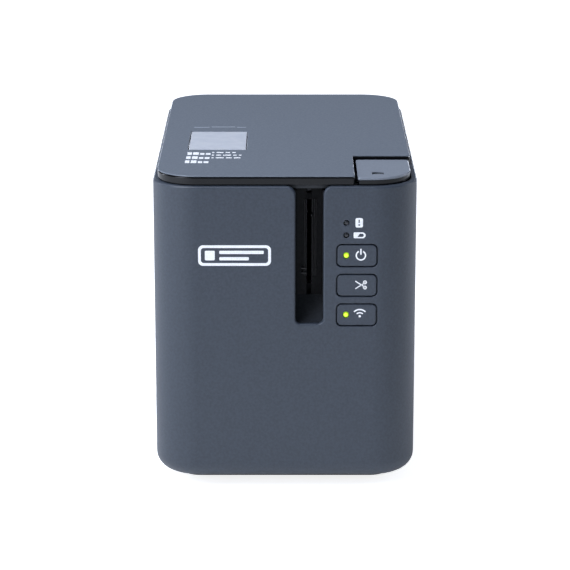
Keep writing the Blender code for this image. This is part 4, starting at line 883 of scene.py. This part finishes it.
# Cutter frame steel: its soft near-black is painted shade, standing for the shade behind the slit, so the frame hides
# behind the slot.
shadeBlackSteel, tree, shader = startMaterial("Steel, near-black as painted shade", metallic=0.6, roughness=0.55)
colourBetween(tree, shader, lumps(tree, 1.5, 3.0), "1B1C1E", "26272A")
relief(tree, shader, lumps(tree, 0.4, 3.0), 0.008)
dress(shadeBlackSteel, "cutter_frame")


# Upper deck: the black tub for the cassette, with rounded edges and ribs on its floor.
deck = {"edge": 0.35, "ribCount": 7, "ribWidth": 1.0, "ribHeight": 0.5}
deckZ = limitsOf("upper_deck")[2]
cassetteX, cassetteY, cassetteZ = limitsOf("tape_cassette")
eased("upperDeck", "upper_deck", deckAbs, deck["edge"])
rearRibs = bars(deck["ribCount"], (-36, 52, deckZ[1]), (12, 0, 0), (0, 26, 0), deck["ribWidth"],
                deck["ribHeight"] * 2, 0.3, deckAbs)
place("deckRibs", rearRibs, deckAbs, "case", crease=40)


# Tape cassette: two half shells with a parting line, a hub, a grip and a plain label.
cassette = {"radius": 3.0, "edge": 0.6, "parting": 0.3, "hubRadius": 13.0, "hubDepth": 1.2, "teeth": 6}
a, b, c = cassetteX, cassetteY, cassetteZ
spindleX, spindleY = middleOf("ribbon_spindle")[:2]
notchLow, notchHigh = -44.5, -22.5
shellOutline = lambda inset: roundedOutline([(a[0] + inset, b[0] + inset, cassette["radius"]),
                                             (a[1] - inset, b[0] + inset, 0.4),
                                             (a[1] - inset, notchLow, 0.4), (2.2, notchLow, 0.4),
                                             (2.2, notchHigh, 0.4),
                                             (a[1] - inset, notchHigh, 0.4),
                                             (a[1] - inset, b[1] - inset, cassette["radius"]),
                                             (a[0] + inset, b[1] - inset, cassette["radius"])], 6)
hubX, hubY = (a[0] + 2.2) / 2 - 4, 16.0
middle = (c[0] + c[1]) / 2
lowerHalf = slab(shellOutline, c[0], middle - cassette["parting"] / 2, cassette["edge"], 0, steps=4)
upperHalf = slab(shellOutline, middle + cassette["parting"] / 2, c[1], 0, cassette["edge"], steps=4)
neck = push(shellOutline(0.35), middle - 1, middle + 1)
hubCut = turned([(cassette["hubRadius"], c[1] - cassette["hubDepth"]), (cassette["hubRadius"], c[1] - 0.3),
                 (cassette["hubRadius"] + 0.4, c[1] + 1)], hubX, hubY, "Z", 64)
spindleCut = push(circle(spindleX, spindleY, 3.3, 32), c[0] - 1, c[1] + 1)
shell = carve(weld(lowerHalf, neck, upperHalf), hubCut, spindleCut)
place("tapeCassette", shell, cassetteAbs, "case", ["tape_cassette"], crease=35)
hubRing = carve(turned([(9.0, c[1] - 1.25), (9.0, c[1] - 0.35), (8.6, c[1] - 0.15)], hubX, hubY, "Z", 48),
                push(circle(hubX, hubY, 5.5, 32), c[1] - 3, c[1] + 1))
hubTeeth = []
for index in range(cassette["teeth"]):
    angle = 2 * math.pi * index / cassette["teeth"]
    line = Vector((math.cos(angle), math.sin(angle)))
    root, tip = [tuple(Vector((hubX, hubY)) + line * reach) for reach in (3.9, 5.9)]
    hubTeeth.append(push(stroke(root, tip, 1.0), c[1] - 1.25, c[1] - 0.5))
place("cassetteHub", weld(hubRing, *hubTeeth), acetal, "case", crease=35)
labelX, labelY, labelZ = limitsOf("cassette_label")
labelSheet = slab(shrinking(labelX, labelY, 1.2, 5), labelZ[0], labelZ[1], 0, 0.06, steps=2)
place("cassetteLabel", labelSheet, coatedPaper, "case", ["cassette_label"], crease=40)
gripBars = bars(8, (a[0] + 6, b[1] - 12, c[1]), (1.9, 0, 0), (0, 9, 0), 0.8, 0.9, 0.2, cassetteAbs)
place("cassetteGrip", gripBars, cassetteAbs, "case", crease=40)
print("deck and cassette made")


# Rear sockets: moulded housings with rounded edges, each with its own metal insides.
sockets = {"edge": 0.4, "depth": 9.0, "pin": 1.05, "contacts": 8}


def socketHousing(name, node, *holes):
    x, y, z = limitsOf(node)
    body = slab(shrinking(x, z, 0.8, 4), y[0], y[1], 0, sockets["edge"], "Y", 4)
    place(name, carve(body, *holes), mattAbs, "case", [node], crease=35)


socketY = limitsOf("power_inlet")[1][1]
socketFloor = socketY - sockets["depth"]
inletX, inletZ = middleOf("power_inlet")[::2]
inletMouth = turned([(3.4, socketFloor), (3.4, socketY - 0.4), (3.8, socketY), (3.8, socketY + 1)], inletX,
                    inletZ, "Y", 40)
socketHousing("powerInlet", "power_inlet", inletMouth)
inletPin = turned([(sockets["pin"], socketFloor - 0.5), (sockets["pin"], socketY - 1.6), (0.6, socketY - 1.1)],
                  inletX, inletZ, "Y", 24)
inletShell = carve(turned([(3.38, socketFloor + 0.02), (3.38, socketY - 2)], inletX, inletZ, "Y", 40),
                   turned([(3.1, socketFloor - 1), (3.1, socketY)], inletX, inletZ, "Y", 40))
place("inletContacts", gathered(inletPin, inletShell), tinPlate, "case", crease=35)

portX, portZ = middleOf("computer_socket")[::2]


def portOutline(grow):  # square below, with cut corners above
    left, right, low, high = portX - 4.2 - grow, portX + 4.2 + grow, portZ - 3.8 - grow, portZ + 3.8 + grow
    shoulder = portZ + 2.2 + grow
    return roundedOutline([(left, low, 0.3), (right, low, 0.3), (right, shoulder, 0.3),
                           (portX + 2.7 + grow, high, 0.3),
                           (portX - 2.7 - grow, high, 0.3), (left, shoulder, 0.3)], 3)


socketHousing("computerSocket", "computer_socket", push(portOutline(0.02), socketFloor, socketY + 1, "Y"))
portShell = carve(push(portOutline(0), socketFloor + 0.05, socketY + 0.3, "Y"),
                  push(portOutline(-0.3), socketFloor - 1, socketY + 1, "Y"))
place("portShell", portShell, tinPlate, "case", crease=35)
portTongue = block((portX - 2.8, portX + 2.8), (socketFloor - 0.3, socketY - 1), (portZ - 1.5, portZ + 1.3),
                   0.3)
place("portTongue", portTongue, acetal, "case", crease=35)
upperWires = bars(2, (portX - 1.2, socketFloor, portZ + 1.35), (2.4, 0, 0), (0, 7.2, 0), 0.9, 0.2, 0.05,
                  contactGold)
lowerWires = bars(2, (portX - 1.2, socketFloor, portZ - 1.55), (2.4, 0, 0), (0, 7.2, 0), 0.9, 0.2, 0.05,
                  contactGold)
place("portContacts", gathered(upperWires, lowerWires), contactGold, "case", crease=40)

serialX, serialZ = middleOf("serial_socket")[::2]
serialCorners = [(-5.3, -4.3, 0.3), (5.3, -4.3, 0.3), (5.3, 2.4, 0.3), (1.9, 2.4, 0.2), (1.9, 4.3, 0.2),
                 (-1.9, 4.3, 0.2),
                 (-1.9, 2.4, 0.2), (-5.3, 2.4, 0.3)]
serialOutline = roundedOutline([(serialX + a, serialZ + b, radius) for a, b, radius in serialCorners], 3)
socketHousing("serialSocket", "serial_socket", push(serialOutline, socketFloor, socketY + 1, "Y"))
serialWires = bars(sockets["contacts"], (serialX - 3.55, socketFloor, serialZ - 3.9), (1.016, 0, 0),
                   (0, 6.5, 1.6),
                   0.36, 0.3, 0.08, contactGold)
place("serialContacts", serialWires, contactGold, "case", crease=40)
print("sockets made")


# Underside: base plate with a row of vents, four domed feet, four cross-recess screws.
under = {"vents": 9, "ventFirst": 14, "ventStep": 4.2, "ventReach": 26, "footRound": 0.7,
         "recessDepth": 1.3, "recessWidth": 0.8, "recessSpan": 3.4}
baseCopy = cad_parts["base_plate"].data.copy()
plateZ = limitsOf("base_plate")[2]
ventCuts = []
for index in range(under["vents"]):
    b = under["ventFirst"] + under["ventStep"] * index
    ventCuts.append(push(stroke((-under["ventReach"], b), (under["ventReach"], b), 1.8), plateZ[0] - 1,
                         plateZ[0] + 3.2))
place("basePlate", carve(baseCopy, *ventCuts), deckAbs, "case", ["base_plate"], crease=30,
      bevel=0.3)
for number in range(1, 5):
    z, radius = limitsOf(f"foot_{number}")[2], halfWidthOf(f"foot_{number}")
    a, b = middleOf(f"foot_{number}")[:2]
    rounded = [(radius - under["footRound"] * (1 - math.sin(angle)),
                z[0] + under["footRound"] * (1 - math.cos(angle)))
               for angle in (math.pi / 2 * step / 5 for step in range(6))]
    ringCut = carve(turned([(radius - 1.6, z[0] - 1), (radius - 1.6, z[0] + 0.35)], a, b, "Z", 48),
                    push(circle(a, b, radius - 2.6, 48), z[0] - 2, z[0] + 2))
    footBody = turned(rounded + [(radius, z[1])], a, b, "Z", 48)
    place(f"foot{number}", carve(footBody, ringCut), nitrile, "case", [f"foot_{number}"], crease=35)
    z, headRadius = limitsOf(f"base_screw_{number}")[2], halfWidthOf(f"base_screw_{number}")
    a, b = middleOf(f"base_screw_{number}")[:2]
    head = turned([(headRadius - 0.7, z[0]), (headRadius - 0.15, z[0] + 0.35), (headRadius, z[0] + 0.8),
                   (headRadius, z[0] + 1.8), (1.4, z[0] + 1.8)], a, b, "Z", 32)
    half, width = under["recessSpan"] / 2, under["recessWidth"] / 2
    cross = [block((a - half, a + half), (b - width, b + width), (z[0] - 1, z[0] + under["recessDepth"])),
             block((a - width, a + width), (b - half, b + half), (z[0] - 1, z[0] + under["recessDepth"]))]
    turns = int((z[1] - z[0] - 2.2) / 0.3)
    thread = [(1.3 if step % 2 else 1.45, z[0] + 1.7 + 0.3 * step) for step in range(turns)] + [(0.5, z[1])]
    screw = gathered(carve(head, *cross), turned(thread, a, b, "Z", 24))
    place(f"baseScrew{number}", screw, zincSteel, "case", [f"base_screw_{number}"], crease=35)
print("underside made")


# Boards: chips, capacitors and pin rows on the main board, small parts round the three key switches.
boards = {"chipHeight": 1.4, "chipRound": 0.25, "canRadius": 3.4, "canHeight": 8.5}
dress(solderMask, "main_board", "panel_board")
face = limitsOf("main_board")[1][0]  # its parts face the inside of the machine
chips = [((-34, -20), (46, 60)), ((-12, -4), (50, 58)), ((6, 14), (46, 50)), ((20, 32), (52, 62)),
         ((-40, -36), (28, 32)), ((34, 42), (24, 30))]
chipBodies = [slab(shrinking(x, z), face - boards["chipHeight"], face - 0.15, boards["chipRound"], 0, "Y", 2)
              for x, z in chips]
place("boardChips", gathered(*chipBodies), mattAbs, "case", crease=30)
legs = []
for (x, z), count, pitch in ((chips[0], 10, 1.27), (chips[3], 6, 1.9)):
    for b in (z[0] - 1.3, z[1] + 0.5):
        legs.append(bars(count, (x[0] + 1.2, face - 0.1, b), (pitch, 0, 0), (0, 0, 0.8), 0.5, 0.25, 0.05,
                         tinPlate))
pins = bars(12, (-8, face - 0.2, 66), (2.0, 0, 0), (0, -4.5, 0), 0.55, 0.55, 0.1, tinPlate)
place("boardLegs", gathered(*legs, pins), tinPlate, "case", crease=40)
cans = []
radius, canLow = boards["canRadius"], face - boards["canHeight"]
canLine = [(radius - 0.9, canLow), (radius - 0.3, canLow + 0.25), (radius, canLow + 0.8), (radius, face - 1.6),
           (radius - 0.25, face - 1.3), (radius, face - 1.0), (radius, face - 0.1)]
for a, b in ((-42, 40), (-42, 62), (42, 42), (42, 62)):
    cans.append(turned(canLine, a, b, "Y", 32))
place("boardCans", gathered(*cans), aluminium, "case", crease=35)
for name in keys:
    x, y, z = limitsOf(name + "_switch")
    a, b = middleOf(name + "_switch")[::2]
    cover = slab(shrinking(x, z, 0.4, 3), y[0] + 0.9, y[1], 0.25, 0, "Y", 3)
    place(name + "Switch", cover, tinPlate, "case", [name + "_switch"], crease=35)
    plunger = turned([(1.3, y[0]), (1.6, y[0] + 0.25), (1.6, y[0] + 1.2)], a, b, "Y", 28)
    place(name + "Plunger", plunger, mattAbs, "case", crease=35)
print("boards made")


# Print head: an aluminium heat sink with cooling fins, the ceramic head bar and its dark heater line.
head = {"finCount": 9, "finPitch": 4.2, "finDepth": 1.0, "finWidth": 0.8, "edge": 0.2, "lineWidth": 0.9,
        "lineDepth": 0.08}
holderX, holderY, holderZ = limitsOf("head_holder")
barX, _, barZ = limitsOf("thermal_head")
eased("headHolder", "head_holder", aluminium, head["edge"])
fins = bars(head["finCount"], (holderX[0] - head["finDepth"] / 2 + 0.1, holderY[0] + 1, holderZ[0] + 3),
            (0, 0, head["finPitch"]),
            (0, holderY[1] - holderY[0] - 2, 0), head["finDepth"], head["finWidth"], 0.15, aluminium)
place("headFins", fins, aluminium, "case", crease=40)
eased("thermalHead", "thermal_head", glazedAlumina, 0.15)
lineY, lineHalf = middleOf("thermal_head")[1], head["lineWidth"] / 2
heaterLine = block((barX[1] - 0.02, barX[1] + head["lineDepth"]), (lineY - lineHalf, lineY + lineHalf),
                   (barZ[0] + 1, barZ[1] - 1))
place("heaterLine", heaterLine, mattAbs, "case", crease=40)


# Platen: a ground rubber roller with rounded ends.
rollerZ, radius = limitsOf("platen_roller")[2], halfWidthOf("platen_roller")
a, b = middleOf("platen_roller")[:2]
endRound = [(0.5, 0), (0.15, 0.15), (0, 0.5)]  # (step in, step along) at each end of the roller
profile = [(radius - aside, rollerZ[0] + along) for aside, along in endRound]
profile += [(radius - aside, rollerZ[1] - along) for aside, along in reversed(endRound)]
bore = push(circle(a, b, halfWidthOf("platen_shaft") - 0.1, 32), rollerZ[0] - 1, rollerZ[1] + 1)
place("platenRoller", carve(turned(profile, a, b, "Z", 56), bore), nitrile, "platen", ["platen_roller"],
      crease=35)


# Motors: plain drawn steel cans with softened edges.
eased("driveMotor", "drive_motor", zincSteel, 0.3)
eased("cutterMotor", "cutter_motor", zincSteel, 0.3)
print("print drive dressed")


# Studio: a white floor and surround that the camera sees as plain white, with softer light on the object itself.
studio = {"seen": 1.0, "ambient": 0.3, "ambientTint": "E4ECFF", "lightTint": "EAF1FF", "floorLift": 0.82,
          "floorGlow": 0.22, "keyPower": 5.6, "sidePower": 3.4, "overheadPower": 9.8, "rimPower": 3.0,
          "backPower": 3.0}
floorPaint, tree, shader = startMaterial("Matt white studio floor", roughness=0.9, specular=0.1)
colourBetween(tree, shader, lumps(tree, 400.0), "F0F1F2", "F6F7F7")
shader.inputs["Emission Color"].default_value = linearColour("FFFFFF")
rays = addNode(tree, "ShaderNodeLightPath")
lift = ranged(tree, rays.outputs["Is Camera Ray"], toMin=studio["floorGlow"], toMax=studio["floorLift"])
tree.links.new(lift, shader.inputs["Emission Strength"])
floor = bpy.data.objects.new("floor", push(rectangle((-6000, 6000), (-6000, 6000)), -20, 0))
floor.data.materials.append(floorPaint)
bpy.context.collection.objects.link(floor)

world = bpy.data.worlds.new("Studio white")
world.use_nodes = True
tree = world.node_tree
background = tree.nodes["Background"]
rays = addNode(tree, "ShaderNodeLightPath")
tint = mixedColour(tree, rays.outputs["Is Camera Ray"], studio["ambientTint"], "FFFFFF")
tree.links.new(tint, background.inputs["Color"])
strength = ranged(tree, rays.outputs["Is Camera Ray"], toMin=studio["ambient"], toMax=studio["seen"])
tree.links.new(strength, background.inputs["Strength"])
bpy.context.scene.world = world


def softbox(name, position, aim, size, power):
    light = bpy.data.lights.new(name, "AREA")
    light.shape = "RECTANGLE"
    light.size, light.size_y = size
    light.energy = power
    light.color = linearColour(studio["lightTint"])[:3]
    item = bpy.data.objects.new(name, light)
    item.location = position
    item.rotation_euler = (Vector(aim) - Vector(position)).to_track_quat("-Z", "Y").to_euler()
    bpy.context.collection.objects.link(item)


softbox("frontLeft", (-0.8, -0.66, 0.56), (0, 0, 0.07), (0.5, 0.65), studio["keyPower"])
softbox("leftSide", (-1.2, 0.45, 0.45), (0, 0, 0.12), (0.2, 0.9), studio["sidePower"])
softbox("overhead", (-0.45, -0.3, 1.1), (0, 0, 0.14), (0.6, 0.6), studio["overheadPower"])
softbox("rightRim", (1.2, 0.45, 0.45), (0, 0, 0.12), (0.2, 0.9), studio["rimPower"])
softbox("backLeft", (-0.5, 1.5, 0.14), (0, 0, 0.13), (0.34, 0.4), studio["backPower"])
softbox("backRight", (0.5, 1.5, 0.14), (0, 0, 0.13), (0.34, 0.4), studio["backPower"])

camera = bpy.data.cameras.new("view")
camera.lens = 155.13
camera.sensor_width = 36
viewer = bpy.data.objects.new("view", camera)
viewer.location = (0, -1.14765, 0.3867)
viewer.rotation_euler = (1.3018, 0, 0)
bpy.context.collection.objects.link(viewer)
bpy.context.scene.camera = viewer
bpy.context.scene.view_settings.view_transform = "Standard"
print("studio set")
